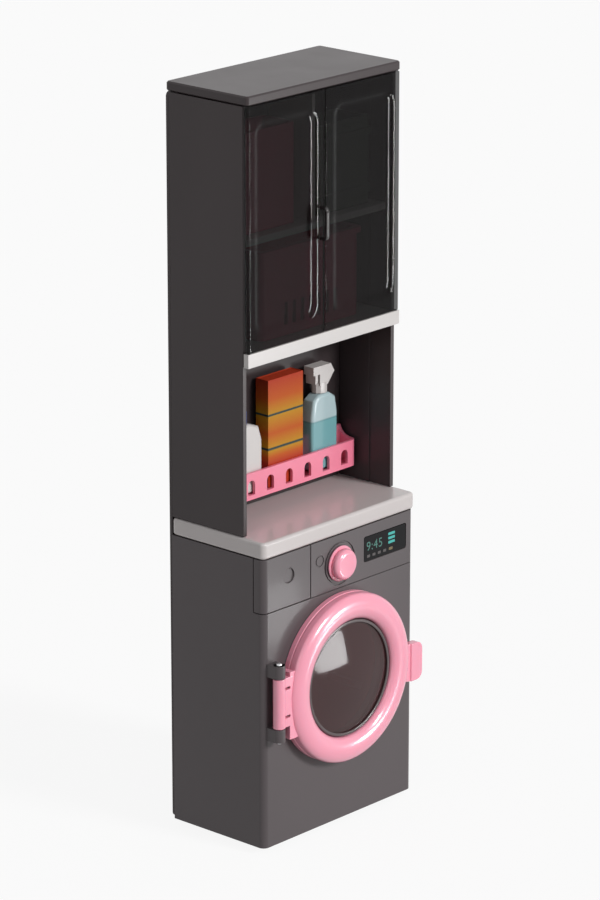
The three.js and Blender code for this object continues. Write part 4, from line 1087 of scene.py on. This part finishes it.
@dataclass
class WasherDoor:
    """The round door: its ring, the domed lens, the bead round it and the retainer."""

    finishes: Finishes
    centre: Point = (0.0, 0.0, 67.5)
    ring_radius: float = 36.5
    mouth_radius: float = 25.6
    front_y: float = -31.0
    crown: float = 3.4
    crown_steps: int = 28
    groove_y: Span = (-25.6, -24.65)
    groove_depth: float = 0.3
    back_y: float = -22.8
    pocket_y: float = -26.6
    pocket_wall: float = 3.2
    lens_y: float = -26.3
    lens_gap: float = 0.3
    lens_border: float = 1.8
    lens_step: float = 0.9
    lens_dome: float = 1.6
    lens_flange: float = 28.0
    bead_y: float = -27.7
    bead_round: float = 0.4
    retainer_profile: tuple[Span, ...] = (
        (25.9, -24.8), (28.3, -24.8), (28.3, -26.3), (33.0, -26.3), (33.0, -23.4), (32.7, -23.1),
        (26.2, -23.1), (25.9, -23.4),
    )

    def build(self) -> None:
        """Builds and dresses the door's pieces."""
        self.build_ring()
        self.build_lens()
        self.build_bead()
        self.build_retainer()

    def build_ring(self) -> None:
        """Spins the ring with its round crown, its groove and the pocket behind it."""
        outer, mouth = self.ring_radius, self.mouth_radius
        middle, half = (outer + mouth) / 2, (outer - mouth) / 2
        crown = [
            (middle + half * math.cos(t), self.front_y + self.crown * (1 - math.sin(t)))
            for t in (math.pi * (1 - i / self.crown_steps) for i in range(self.crown_steps + 1))
        ]
        near, far = self.groove_y
        floor = outer - self.groove_depth
        wall = outer - self.pocket_wall
        profile = [
            (mouth, self.pocket_y), *crown, (outer, near), (floor, near + 0.25),
            (floor, far - 0.25), (outer, far), (outer, self.back_y + 0.3),
            (outer - 0.3, self.back_y), (wall + 0.2, self.back_y), (wall, self.back_y - 0.2),
            (wall, self.pocket_y),
        ]
        ring = Piece.spun("door_ring_turned", profile, self.centre, Axis.Y, 160)
        ring.smooth(30).finished(self.finishes.pink, Body.WASHER_DOOR, "door_ring")

    def dome(self, radius: float, y: float, steps: int = 16) -> list[Span]:
        """Points of the lens's dome from its rim to its middle.

        Args:
            radius: the rim's radius.
            y: where the rim is, front to back.
            steps: how many parts it has.

        Returns:
            The points.
        """
        return [
            (radius * (1 - i / steps), y - self.lens_dome * math.sin(i / steps * math.pi / 2))
            for i in range(steps + 1)
        ]

    def build_lens(self) -> None:
        """Spins the domed lens."""
        edge = self.mouth_radius - self.lens_gap
        flat = edge - self.lens_border
        front, back = self.lens_y - self.lens_step, self.lens_y + 1.2
        profile = [
            *reversed(self.dome(flat, front)), (edge, front), (edge, self.lens_y),
            (self.lens_flange, self.lens_y), (self.lens_flange, back), (flat + 0.3, back),
            (flat, self.lens_y + 0.3), *self.dome(flat, self.lens_y + 0.3)[1:],
        ]
        lens = Piece.spun("door_lens_turned", profile, self.centre, Axis.Y, 128, closed=False)
        lens.smooth(24).finished(self.finishes.lens, Body.WASHER_DOOR, "door_lens")

    def build_bead(self) -> None:
        """Spins the dark bead round the lens."""
        edge = self.mouth_radius - self.lens_gap
        bead = [
            (edge, self.bead_y + 0.2), *arc((edge - 0.5, self.bead_y), self.bead_round, 0, -90, 5),
            *arc((edge - 1.1, self.bead_y), self.bead_round, -90, -180, 5),
            (edge - 1.5, self.bead_y + 0.2),
        ]
        Piece.spun("lens_bezel_turned", bead, self.centre, Axis.Y, 128).smooth().finished(
            self.finishes.bead, Body.WASHER_DOOR, "lens_bezel", slot="seal"
        )

    def build_retainer(self) -> None:
        """Spins the ring that holds the lens from behind."""
        retainer = Piece.spun(
            "lens_retainer_turned", self.retainer_profile, self.centre, Axis.Y, 112
        )
        retainer.smooth().finished(self.finishes.pink, Body.WASHER_DOOR, "lens_retainer")


@dataclass
class DoorHinge:
    """The washing machine door's hinge: leaf, the pad it grows from, pin and lugs."""

    finishes: Finishes
    axis: Span = (-42.0, -26.6)
    barrel: float = 2.6
    leaf_z: Span = (56.7, 78.3)
    leaf_end: float = -34.9
    leaf_half: float = 1.8
    leaf_bore: float = 1.6
    slit_reach: Span = (1.3, 4.9)
    slit_inset: float = 4.6
    slit_half: float = 0.6
    pad_x: Span = (-37.1, -30.0)
    pad_y: Span = (-28.2, -22.8)
    pad_z: Span = (50.5, 80.0)
    pocket_centre: Point = (0.0, 0.0, 67.5)
    pocket_radius: float = 34.9
    pocket_y: Span = (-26.6, -20.0)
    pin_profile: tuple[Span, ...] = (
        (0, 49.8), (0.8, 49.9), (1.15, 50.2), (1.25, 50.6), (1.25, 84.4), (1.15, 84.8),
        (0.8, 85.1), (0, 85.2),
    )
    lugs_z: tuple[Span, ...] = ((50.8, 56.4), (78.6, 84.2))
    lug_skin: float = 0.03
    lug_bore: float = 1.5

    def build(self) -> None:
        """Builds and dresses the hinge's pieces."""
        self.build_leaf()
        self.build_pad()
        self.build_pin()
        self.build_lugs()

    def build_leaf(self) -> None:
        """Models the hinge leaf with its barrel and two slits."""
        x, y = self.axis
        low, high = self.leaf_z
        thick = (y - self.leaf_half, y + self.leaf_half)
        leaf = Piece.rod("hinge_leaf", self.barrel, self.leaf_z, (x, y, 0), sides=48).eased(0.3)
        web = Piece.block("web", (x, self.leaf_end), thick, (low + 0.05, high - 0.05))
        leaf.joined(web.eased(0.3))
        across = (x + self.slit_reach[0], x + self.slit_reach[1])
        for z in (low + self.slit_inset, high - self.slit_inset):
            gap = (z - self.slit_half, z + self.slit_half)
            leaf.cut(Piece.block("slit", across, (y - 3, y + 3), gap))
        leaf.cut(Piece.rod("bore", self.leaf_bore, (low - 1, high + 1), (x, y, 0)))
        leaf.smooth(30, flats=True).finished(self.finishes.pink, Body.WASHER_DOOR)

    def build_pad(self) -> None:
        """Models the pad that the leaf grows from, hollowed as the ring's pocket is."""
        pad = Piece.block("hinge_pad", self.pad_x, self.pad_y, self.pad_z)
        pad.cut(
            Piece.rod(
                "pocket", self.pocket_radius, self.pocket_y, self.pocket_centre, Axis.Y, 128
            )
        )
        pad.eased(0.5, 3).finished(self.finishes.pink, Body.WASHER_DOOR)

    def build_pin(self) -> None:
        """Turns the hinge pin with its domed ends."""
        place = (*self.axis, 0)
        pin = Piece.spun("hinge_pin_turned", self.pin_profile, place, Axis.Z, 40, closed=False)
        pin.smooth().finished(self.finishes.steel, Body.TOWER, "hinge_pin")

    def build_lugs(self) -> None:
        """Turns the round skin of the two lugs that carry the pin."""
        place = (*self.axis, 0)
        radius = self.barrel + self.lug_skin
        for name, z in zip(("lower", "upper"), self.lugs_z):
            lug = Piece.rod("hinge_lug_" + name, radius, z, place, sides=48).eased(0.3)
            lug.cut(Piece.rod("bore", self.lug_bore, (z[0] - 1, z[1] + 1), place))
            lug.smooth(30, flats=True).finished(self.finishes.grey, Body.TOWER)


@dataclass
class DoorLatch:
    """The washing machine door's latch: the tab with its stepped root, and the prong."""

    finishes: Finishes
    tab_x: Span = (34.6, 46.0)
    tab_y: Span = (-28.4, -24.8)
    tab_z: Span = (55.1, 71.9)
    tab_corner: float = 3.4
    step_x: Span = (34.0, 38.9)
    step_y: Span = (-29.0, -27.7)
    step_z: Span = (54.0, 73.0)
    prong_x: Span = (40.0, 42.0)
    prong_y: Span = (-26.6, -18.8)
    prong_z: Span = (61.0, 66.0)

    def build(self) -> None:
        """Models the tab and the prong behind it."""
        tab = Piece.plate("latch_tab", self.tab_x, self.tab_z, self.tab_y, self.tab_corner, 10)
        tab.cut(Piece.block("step", self.step_x, self.step_y, self.step_z))
        tab.eased(0.5, 4).finished(self.finishes.pink, Body.WASHER_DOOR)
        prong = Piece.block("latch_prong", self.prong_x, self.prong_y, self.prong_z)
        prong.eased(0.3).finished(self.finishes.pink, Body.WASHER_DOOR)


@dataclass
class DrumAndGears:
    """The red drum with its lifters, its axle, and the gear train behind it."""

    finishes: Finishes
    axis: Point = (0.0, 0.0, 67.5)
    radius: float = 31.0
    front_y: float = -17.8
    back_y: float = 12.2
    wall: float = 1.4
    corner: float = 7.0
    lip_radius: float = 27.0
    bore: float = 2.35
    boss: float = 6.2
    bead: Span = (12.0, 14.4)
    bead_height: float = 0.5
    spigot: float = 6.0
    spigot_end: float = 18.4
    lifters: int = 3
    lifter_half: float = 2.0
    lifter_y: Span = (-12.3, 6.7)
    lifter_height: float = 3.4
    lifter_taper: Point = (0.5, 0.84, 1.0)
    tooth_edge: float = 0.08
    axle_profile: tuple[Span, ...] = (
        (0, 9.1), (3.6, 9.1), (4.2, 9.35), (4.4, 9.8), (4.4, 10.5), (2, 10.5), (2, 21.5),
        (3.2, 21.5), (3.2, 22.4), (2.9, 22.7), (0, 22.7),
    )

    def build(self) -> None:
        """Builds the drum and dresses the wheels and pins."""
        self.build_bowl()
        natural, steel = self.finishes.natural, self.finishes.steel
        wheels = {"drum_gear": Body.DRUM, "idler_gear": Body.IDLER, "knob_pinion": Body.KNOB}
        for node, body in wheels.items():
            Piece.from_frame(node).eased(self.tooth_edge, 1).finished(natural, body, node)
        Piece.from_frame("gear_plate").eased(0.2).finished(natural, Body.TOWER, "gear_plate")
        Piece.from_frame("idler_pin").eased(0.15).finished(steel, Body.TOWER, "idler_pin")
        axle = Piece.spun(
            "drum_axle_turned", self.axle_profile, self.axis, Axis.Y, 56, closed=False
        )
        axle.smooth().finished(steel, Body.TOWER, "drum_axle")

    def build_bowl(self) -> None:
        """Spins the bowl with its rounded lip and beaded floor, then adds the lifters."""
        outer, inner, lip = self.radius, self.radius - self.wall, self.lip_radius
        front, back = self.front_y, self.back_y
        floor = back - self.wall
        bead = floor - self.bead_height
        bend = (outer - self.corner, back - self.corner)
        profile = [
            (lip, front + 0.3), (lip + 0.3, front), (outer - 0.7, front), (outer, front + 0.7),
            *arc(bend, self.corner, 0, 90, 12), (self.boss, back), (self.bore, back),
            (self.bore, floor), (self.bead[0], floor), (self.bead[0] + 0.4, bead),
            (self.bead[1] - 0.4, bead), (self.bead[1], floor),
            *reversed(arc(bend, self.corner - self.wall, 0, 90, 12)),
            (inner, front + self.wall), (lip, front + self.wall),
        ]
        bowl = Piece.spun("drum_turned", profile, self.axis, Axis.Y, 128)
        bowl.smooth(28).finished(self.finishes.red, Body.DRUM, "drum")
        ends = (back - 0.1, self.spigot_end)
        spigot = Piece.rod("drum_spigot", self.spigot, ends, self.axis, Axis.Y, 6)
        spigot.cut(Piece.rod("bore", self.bore, (10, 20), self.axis, Axis.Y, 40))
        spigot.smooth().finished(self.finishes.red, Body.DRUM)
        for index in range(self.lifters):
            self.build_lifter(index)

    def build_lifter(self, index: int) -> None:
        """Models one lifter with a narrow, rounded top and sloped ends.

        Args:
            index: which of the lifters.
        """
        root = self.axis[2] + self.radius - self.wall + 0.2
        tip = self.axis[2] + self.radius - self.wall - self.lifter_height
        wide = (-self.lifter_half, self.lifter_half)
        lifter = Piece.block("drum_lifter_%d" % index, wide, self.lifter_y, (tip, root))
        middle_y = sum(self.lifter_y) / 2
        lifter.scaled_faces(lambda p, n: n.z < -0.9, self.lifter_taper, (0, middle_y, tip))
        lifter.eased(0.5, 3)
        turn = Matrix.Rotation(TURN * index / self.lifters, 4, "Y")
        middle = Matrix.Translation(metres(self.axis))
        lifter.thing.data.transform(middle @ turn @ middle.inverted())
        lifter.finished(self.finishes.red, Body.DRUM)


@dataclass
class ProgrammeKnob:
    """The pink knob, a thin disc with a round-nosed barrel on it, and its shaft."""

    finishes: Finishes
    axis: Point = (0.0, 0.0, 116.7)
    front_y: float = -26.8
    back_y: float = -22.5
    hub_y: float = -18.7
    barrel: float = 6.6
    disc: float = 7.6
    nose: float = 2.0
    neck: float = 0.5
    hub: float = 4.2
    socket: float = 2.92
    socket_floor: float = 1.6

    def build(self) -> None:
        """Builds the knob and dresses its shaft."""
        front, back, barrel, disc = self.front_y, self.back_y, self.barrel, self.disc
        edge = (barrel - self.nose, front + self.nose)
        neck = barrel - self.neck
        profile = [
            (0, front), *arc(edge, self.nose, -90, 0, 9), (barrel, back - 1.5),
            (barrel - 0.15, back - 1.3), (neck, back - 1.25), (neck, back - 0.95),
            (disc - 0.3, back - 0.9), (disc, back - 0.6), (disc, back - 0.2), (disc - 0.2, back),
            (self.hub, back), (self.hub, self.hub_y), (0, self.hub_y),
        ]
        knob = Piece.spun("programme_knob_turned", profile, self.axis, Axis.Y, 96, closed=False)
        deep = (front + self.socket_floor, self.hub_y + 1)
        knob.cut(Piece.rod("socket", self.socket, deep, self.axis, Axis.Y, 6))
        knob.smooth(30).finished(self.finishes.pink, Body.KNOB, "programme_knob")
        Piece.from_frame("knob_shaft").smooth().finished(
            self.finishes.natural, Body.KNOB, "knob_shaft"
        )


@dataclass
class Cabinet:
    """The black cabinet: walls, back, white floor strip, shelf, divider and cap."""

    finishes: Finishes
    eased_widths: dict[str, float] = field(
        default_factory=lambda: {
            "cabinet_left_wall": 0.3, "cabinet_right_wall": 0.3, "alcove_back": 0.2,
            "cupboard_cap": 0.4, "cupboard_floor": 0.3, "cupboard_shelf": 0.25,
            "cupboard_divider": 0.25,
        }
    )

    def build(self) -> None:
        """Eases and dresses the cabinet's mouldings."""
        white = ("cupboard_floor", "cupboard_shelf", "cupboard_divider")
        for node, width in self.eased_widths.items():
            material = self.finishes.white if node in white else self.finishes.black
            Piece.from_frame(node).eased(width).finished(material, Body.TOWER, node)


@dataclass
class BowHandle:
    """The bow handle of the left cupboard door, and the pegs that hold it."""

    finishes: Finishes
    x: Span = (-4.3, -2.5)
    y: Span = (-18.7, -14.2)
    z: Span = (254.0, 268.2)
    round_width: float = 2.2
    space_x: Span = (-6.0, 0.0)
    space_y: Span = (-17.3, -13.0)
    space_z: Span = (255.4, 266.8)
    pegs: tuple[Point, ...] = ((-3.4, 0, 254.7), (-3.4, 0, 267.5))
    peg: float = 0.6
    peg_y: Span = (-14.9, -12.7)
    hole: float = 0.9
    hole_y: Span = (-16.0, -10.0)

    def drill(self, door: Piece) -> None:
        """Drills the pegs' holes in the door."""
        for place in self.pegs:
            door.cut(Piece.rod("handle_hole", self.hole, self.hole_y, place, Axis.Y, 24))

    def build(self) -> None:
        """Models the bow and its pegs."""
        grip = Piece.block("cupboard_handle_bow", self.x, self.y, self.z)
        grip.round_edges(
            lambda a, b: abs((a - b).x) > MM and (a.y + b.y) / 2 < -18 * MM, self.round_width, 8
        )
        grip.cut(Piece.block("space", self.space_x, self.space_y, self.space_z))
        grip.eased(0.6, 5)
        grip.finished(self.finishes.bow, Body.LEFT_DOOR, "cupboard_handle", slot="black_plastic")
        for name, place in zip(("lower", "upper"), self.pegs):
            peg = Piece.rod("handle_peg_" + name, self.peg, self.peg_y, place, Axis.Y, 20)
            peg.eased(0.12).finished(self.finishes.black, Body.LEFT_DOOR)


@dataclass
class CupboardDoors:
    """Two smoke doors with a sunk window, and the bow handle on the left one."""

    finishes: Finishes
    y: Span = (-13.9, -12.1)
    z: Span = (214.6, 315.7)
    meeting: float = 0.25
    pivot: Span = (44.7, -12.6)
    window_x: Span = (5.15, 41.9)
    window_z: Span = (221.6, 308.7)
    window_corner: float = 5.0
    window_round: float = 1.0
    slope: float = 2.0
    sunk: float = 0.9
    edge: float = 0.25
    barrel: float = 1.3
    barrel_gap: float = 0.04
    peg: float = 0.75
    peg_reach: float = 1.7

    def build(self) -> None:
        """Builds both doors and the handle."""
        right = self.door("right_cupboard_door_panel")
        left = right.mirrored("left_cupboard_door_panel")
        handle = BowHandle(self.finishes)
        handle.drill(left)
        left.smooth(24, flats=True)
        smoke = self.finishes.smoke
        right.finished(smoke, Body.RIGHT_DOOR, "right_cupboard_door")
        left.finished(smoke, Body.LEFT_DOOR, "left_cupboard_door")
        handle.build()

    def door(self, name: str) -> Piece:
        """Models the right door with its sloped window, barrel and pegs.

        Args:
            name: the piece's name.

        Returns:
            The piece.
        """
        low, high = self.z
        at = (*self.pivot, 0)
        wide = (self.meeting, self.pivot[0] + self.edge)
        between = (low + self.barrel_gap, high - self.barrel_gap)
        beyond = (low - self.peg_reach, high + self.peg_reach)
        panel = Piece.block(name, wide, self.y, self.z).eased(self.edge)
        barrel = Piece.rod("barrel", self.barrel, between, at, Axis.Z, 32)
        pegs = Piece.rod("pegs", self.peg, beyond, at, Axis.Z, 24)
        panel.joined(barrel.eased(self.edge), pegs.eased(self.edge))
        panel.cut(self.window_tool())
        self.round_window(panel, self.y[0])
        self.round_window(panel, self.y[0] + self.sunk)
        return panel.smooth(24, flats=True)

    def window_tool(self) -> Piece:
        """Models the plug that cuts the window: a rounded plate whose back tapers in.

        Returns:
            The plug.
        """
        front = self.y[0]
        before = (front - 0.7, front)
        tool = Piece.plate(
            "window_tool", self.window_x, self.window_z, before, self.window_corner, 14
        )
        tool.extruded(lambda p, n: n.y > 0.9, (0, self.sunk, 0))
        middle = (sum(self.window_x) / 2, front, sum(self.window_z) / 2)
        wide = 1 - 2 * self.slope / (self.window_x[1] - self.window_x[0])
        tall = 1 - 2 * self.slope / (self.window_z[1] - self.window_z[0])
        return tool.scaled_faces(lambda p, n: n.y > 0.9, (wide, 1.0, tall), middle)

    def round_window(self, panel: Piece, level: float) -> None:
        """Rounds the window's edges at one level, its mouth or its floor.

        Args:
            panel: the door's panel.
            level: where those edges are, front to back.
        """
        x, z = metres(self.window_x), metres(self.window_z)
        margin = 0.1 * MM

        def on_level(place: Vector) -> bool:
            """Whether a point is on the window's edge at that level.

            Args:
                place: the point, in metres.

            Returns:
                True where it is.
            """
            return (
                abs(place.y - level * MM) < WELD * MM
                and x[0] - margin < place.x < x[1] + margin
                and z[0] - margin < place.z < z[1] + margin
            )

        panel.round_edges(lambda a, b: on_level(a) and on_level(b), self.window_round, 6)

@dataclass
class RackAndSupplies:
    """The pink rack and the packet and bottles that stand in it."""

    finishes: Finishes
    packet_x: Span = (-10.7, 10.7)
    packet_y: Span = (8.0, 15.0)
    packet_z: Span = (145.3, 191.5)
    packet_rim: float = 0.5
    packet_fold: float = 0.25

    def build(self) -> None:
        """Builds the rack and what it holds."""
        Piece.from_frame("alcove_rack").eased(0.3, 3).finished(
            self.finishes.rack, Body.TOWER, "alcove_rack"
        )
        self.build_packet()
        self.build_bottles()

    def build_packet(self) -> None:
        """Models the packet with its folded top."""
        packet = Piece.block("detergent_packet", self.packet_x, self.packet_y, self.packet_z)
        packet.sunk(lambda p, n: n.z > 0.9, self.packet_rim, self.packet_fold)
        packet.eased(0.3).finished(self.finishes.card, Body.POWDER, "detergent_box")

    def build_bottles(self) -> None:
        """Eases the white bottle, the turquoise one and its trigger head."""
        Piece.from_frame("softener_bottle").eased(0.5, 3, 40).finished(
            self.finishes.white, Body.SOFTENER, "softener_bottle"
        )
        Piece.from_frame("spray_bottle").eased(0.5, 3, 40).finished(
            self.finishes.turquoise, Body.SPRAY, "spray_bottle"
        )
        Piece.from_frame("spray_head").eased(0.35, 3).finished(
            self.finishes.white, Body.SPRAY, "spray_head"
        )


@dataclass
class SoftenerCap:
    """The ribbed cap of the white bottle."""

    finishes: Finishes
    at: Point = (-25.0, 11.5, 0)
    z: Span = (175.6, 181.6)
    radius: float = 3.4
    bore: float = 2.7
    inside_z: float = 179.2
    steps: int = 72
    rib_every: int = 3
    rib_radius: float = 3.1
    rib_depth: float = 0.12
    rib_gap: float = 0.02

    def build(self) -> None:
        """Turns the cap and presses the grooves between its ribs."""
        (low, high), bore, radius = self.z, self.bore, self.radius
        profile = [
            (bore, low), (radius, low), (radius, high - 0.9), (radius - 0.2, high - 0.4),
            (bore, high), (0, high), (0, self.inside_z), (bore, self.inside_z),
        ]
        cap = Piece.spun("softener_cap_turned", profile, self.at, Axis.Z, self.steps)
        with editing(cap.thing) as mesh:
            for face in mesh.faces:
                face.select_set(self.is_groove(face))
            bpy.ops.mesh.inset(thickness=self.rib_gap * MM, depth=-self.rib_depth * MM)
        cap.smooth(30).finished(self.finishes.blue, Body.SOFTENER, "softener_cap")

    def is_groove(self, face: bmesh.types.BMFace) -> bool:
        """Whether a face of the skirt lies between two ribs.

        Args:
            face: the face.

        Returns:
            True for every third face round the outside.
        """
        middle = face.calc_center_median() - metres(self.at)
        step = math.floor(math.atan2(middle.y, middle.x) / TURN * self.steps)
        outside = abs(face.normal.z) < 0.2 and middle.xy.length > self.rib_radius * MM
        return outside and step % self.rib_every == 0


@dataclass
class Storage:
    """The basket, bin and crate inside the cupboard."""

    finishes: Finishes

    def build(self) -> None:
        """Builds the three containers."""
        Piece.from_frame("laundry_basket").eased(0.25, 2).finished(
            self.finishes.rose, Body.TOWER, "laundry_basket"
        )
        Piece.from_frame("storage_bin").eased(0.3, 3).finished(
            self.finishes.rose, Body.TOWER, "storage_bin"
        )
        Piece.from_frame("storage_crate").eased(0.25, 2).finished(
            self.finishes.green, Body.TOWER, "storage_crate"
        )


@dataclass
class BackCover:
    """The black back cover and the cross-headed screws that hold it."""

    finishes: Finishes
    back_y: float = 31.0
    rows: tuple[str, ...] = (
        "gear_lower", "gear_upper", "base_lower", "cabinet_upper", "cabinet_top",
    )
    shank: float = 1.1
    head: float = 2.6
    length: float = 7.3
    head_height: float = 0.8
    cross_reach: float = 1.5
    cross_half: float = 0.28
    cross_depth: float = 0.6

    def build(self) -> None:
        """Builds the cover and the screws."""
        Piece.from_frame("back_cover").eased(0.35).finished(
            self.finishes.black, Body.TOWER, "back_cover"
        )
        pattern = self.screw_pattern()
        for row in self.rows:
            for side in ("left", "right"):
                node = "screw_%s_%s" % (row, side)
                low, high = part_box(node)
                middle = (low + high) / 2 / MM
                made = pattern.copied(node + "_turned", (middle.x, 0, middle.z))
                made.finished(self.finishes.steel, Body.TOWER, node)
        bpy.data.objects.remove(pattern.thing)

    def screw_pattern(self) -> Piece:
        """Turns one screw with a domed head and a cross recess.

        Returns:
            The piece.
        """
        back, shank, head = self.back_y, self.shank, self.head
        under = back - self.head_height
        profile = [
            (0, back - self.length), (0.6, back - 6.6), (shank, back - 5.8), (shank, under),
            (head, under), (head, back - 0.35), (head - 0.4, back - 0.1), (1.4, back), (0, back),
        ]
        screw = Piece.spun("screw_pattern", profile, (0, 0, 0), Axis.Y, 40, closed=False)
        deep = (back - self.cross_depth, back + 1)
        long = (-self.cross_reach, self.cross_reach)
        narrow = (-self.cross_half, self.cross_half)
        screw.cut(Piece.block("slot", long, deep, narrow), Piece.block("slot", narrow, deep, long))
        return screw.smooth(30)


@dataclass(frozen=True)
class Sun:
    """A soft distant lamp, which lights the floor evenly.

    Args:
        name: its name.
        side: the direction that its light comes from.
        power: its strength.
        width: how wide it looks, in degrees.
    """

    name: str
    side: Point
    power: float
    width: float


@dataclass(frozen=True)
class Card:
    """A bright card that only shows in glossy surfaces.

    Args:
        name: its name.
        at: its middle.
        faces: the point that it faces.
        size: its width and height.
        bright: how bright it looks, where 1 is white.
        tilt: how far it is turned in its own plane, in degrees.
    """

    name: str
    at: Point
    faces: Point
    size: Span
    bright: float
    tilt: float = 0.0


@dataclass
class Studio:
    """Pale floor, plain soft light and the camera at the photograph's viewing angle."""

    eye: Point = (-1258.2, -1142.2, 692.6)
    aim: Point = (0.0, 0.0, 161.0)
    lens: float = 172.0
    pale: Colour = (0.86, 0.85, 0.845)
    bounce: Colour = (0.5, 0.495, 0.49)
    sky: Colour = (0.97, 0.98, 1.0)
    ambient: float = 0.3
    whiteness: float = 0.9
    floor_size: float = 60.0
    suns: tuple[Sun, ...] = (
        Sun("key_sun", (0.15, -0.85, 0.42), power=2.35, width=14.0),
        Sun("fill_sun", (-0.85, -0.35, 0.4), power=0.2, width=30.0),
    )
    cards: tuple[Card, ...] = (
        Card("door_card", (317.0, -494.0, 102.0), (5.0, -14.0, 265.0), (100.0, 150.0), bright=32.0),
        Card(
            "lens_card", (80.0, -138.0, 45.0), (-10.0, -28.0, 80.0), (36.0, 26.0), bright=12.0,
            tilt=10.0,
        ),
    )

    def build(self) -> None:
        """Sets up the stage, the lamps, the world and the camera."""
        self.build_floor()
        self.build_world()
        for sun in self.suns:
            self.hang(sun)
        for card in self.cards:
            self.stand(card)
        self.build_camera()
        bpy.context.scene.view_settings.view_transform = "Standard"

    def seen_white(
        self, tree: bpy.types.NodeTree, seen: bpy.types.Node, lit: bpy.types.Node
    ) -> bpy.types.Node:
        """Shows one shader to the camera and in reflections, and another to everything else.

        Args:
            tree: the node tree.
            seen: the shader that shows.
            lit: the shader that lights.

        Returns:
            The Mix Shader node.
        """
        rays = tree.nodes.new("ShaderNodeLightPath")
        first = tree.nodes.new("ShaderNodeMath")
        second = tree.nodes.new("ShaderNodeMath")
        mix = tree.nodes.new("ShaderNodeMixShader")
        first.operation = second.operation = "MAXIMUM"
        tree.links.new(rays.outputs["Is Camera Ray"], first.inputs[0])
        tree.links.new(rays.outputs["Is Glossy Ray"], first.inputs[1])
        tree.links.new(first.outputs[0], second.inputs[0])
        tree.links.new(rays.outputs["Is Transmission Ray"], second.inputs[1])
        tree.links.new(second.outputs[0], mix.inputs[0])
        tree.links.new(lit.outputs[0], mix.inputs[1])
        tree.links.new(seen.outputs[0], mix.inputs[2])
        return mix

    def build_floor(self) -> None:
        """Lays the plain floor, which shows white but keeps the tower's shadow."""
        bpy.ops.object.select_all(action="DESELECT")
        bpy.ops.mesh.primitive_plane_add(size=self.floor_size)
        floor = bpy.context.object
        floor.name = "studio_floor"
        graph = Graph("studio_floor")
        graph.set(Base_Color=(*self.pale, 1), Roughness=0.8, Specular_IOR_Level=0.1)
        glow = graph.add("ShaderNodeEmission")
        half = graph.add("ShaderNodeMixShader")
        half.inputs[0].default_value = self.whiteness
        graph.link(graph.surface, "BSDF", half, 1)
        graph.link(glow, "Emission", half, 2)
        lit = graph.add("ShaderNodeBsdfDiffuse")
        lit.inputs["Color"].default_value = (*self.bounce, 1)
        mix = self.seen_white(graph.tree, half, lit)
        graph.link(mix, "Shader", graph.output, "Surface")
        floor.data.materials.append(graph.material)

    def build_world(self) -> None:
        """Lights the world softly and shows it white behind the tower."""
        world = bpy.data.worlds.new("studio_world")
        world.use_nodes = True
        tree = world.node_tree
        lit = tree.nodes["Background"]
        lit.inputs["Color"].default_value = (*self.sky, 1)
        lit.inputs["Strength"].default_value = self.ambient
        seen = tree.nodes.new("ShaderNodeBackground")
        seen.inputs["Color"].default_value = (1.0, 1.0, 1.0, 1.0)
        mix = self.seen_white(tree, seen, lit)
        tree.links.new(mix.outputs[0], tree.nodes["World Output"].inputs["Surface"])
        bpy.context.scene.world = world

    def hang(self, sun: Sun) -> None:
        """Hangs a distant lamp.

        Args:
            sun: the lamp.
        """
        data = bpy.data.lights.new(sun.name, "SUN")
        data.energy = sun.power
        data.angle = math.radians(sun.width)
        side = Vector(sun.side)
        lamp = bpy.data.objects.new(sun.name, data)
        lamp.location = metres(side * 2000)
        lamp.rotation_euler = (-side).to_track_quat("-Z", "Y").to_euler()
        bpy.context.scene.collection.objects.link(lamp)

    def stand(self, card: Card) -> None:
        """Stands a bright card beside the tower, as a photographer does.

        Args:
            card: the card.
        """
        data = bpy.data.lights.new(card.name, "AREA")
        data.shape = "RECTANGLE"
        data.size, data.size_y = card.size[0] * MM, card.size[1] * MM
        data.energy = card.bright * math.pi * data.size * data.size_y
        lamp = bpy.data.objects.new(card.name, data)
        lamp.location = metres(card.at)
        aimed = (metres(card.faces) - metres(card.at)).to_track_quat("-Z", "Y").to_matrix()
        turn = Matrix.Rotation(math.radians(card.tilt), 3, "Z")
        lamp.rotation_euler = (aimed @ turn).to_euler()
        lamp.visible_camera = lamp.visible_diffuse = lamp.visible_transmission = False
        bpy.context.scene.collection.objects.link(lamp)

    def build_camera(self) -> None:
        """Puts the camera where the photograph was taken, with a longer lens."""
        data = bpy.data.cameras.new("camera")
        data.sensor_width = 36
        data.lens = self.lens
        camera = bpy.data.objects.new("camera", data)
        camera.location = metres(self.eye)
        camera.rotation_mode = "QUATERNION"
        camera.rotation_quaternion = (metres(self.aim) - camera.location).to_track_quat("-Z", "Y")
        bpy.context.scene.collection.objects.link(camera)
        bpy.context.scene.camera = camera


def main() -> None:
    """Builds the finishes, each sub-assembly in turn, and the studio."""
    logging.basicConfig(level=logging.INFO, format="%(name)s %(message)s")
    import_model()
    finishes = Finishes()
    for part in (
        WasherHousing(finishes), Display(finishes), WasherDoor(finishes), DoorHinge(finishes),
        DoorLatch(finishes), DrumAndGears(finishes), ProgrammeKnob(finishes), Cabinet(finishes),
        CupboardDoors(finishes), RackAndSupplies(finishes), SoftenerCap(finishes),
        Storage(finishes), BackCover(finishes),
    ):
        log.info("building %s", type(part).__name__)
        part.build()
    Studio().build()


if __name__ == "__main__":
    main()
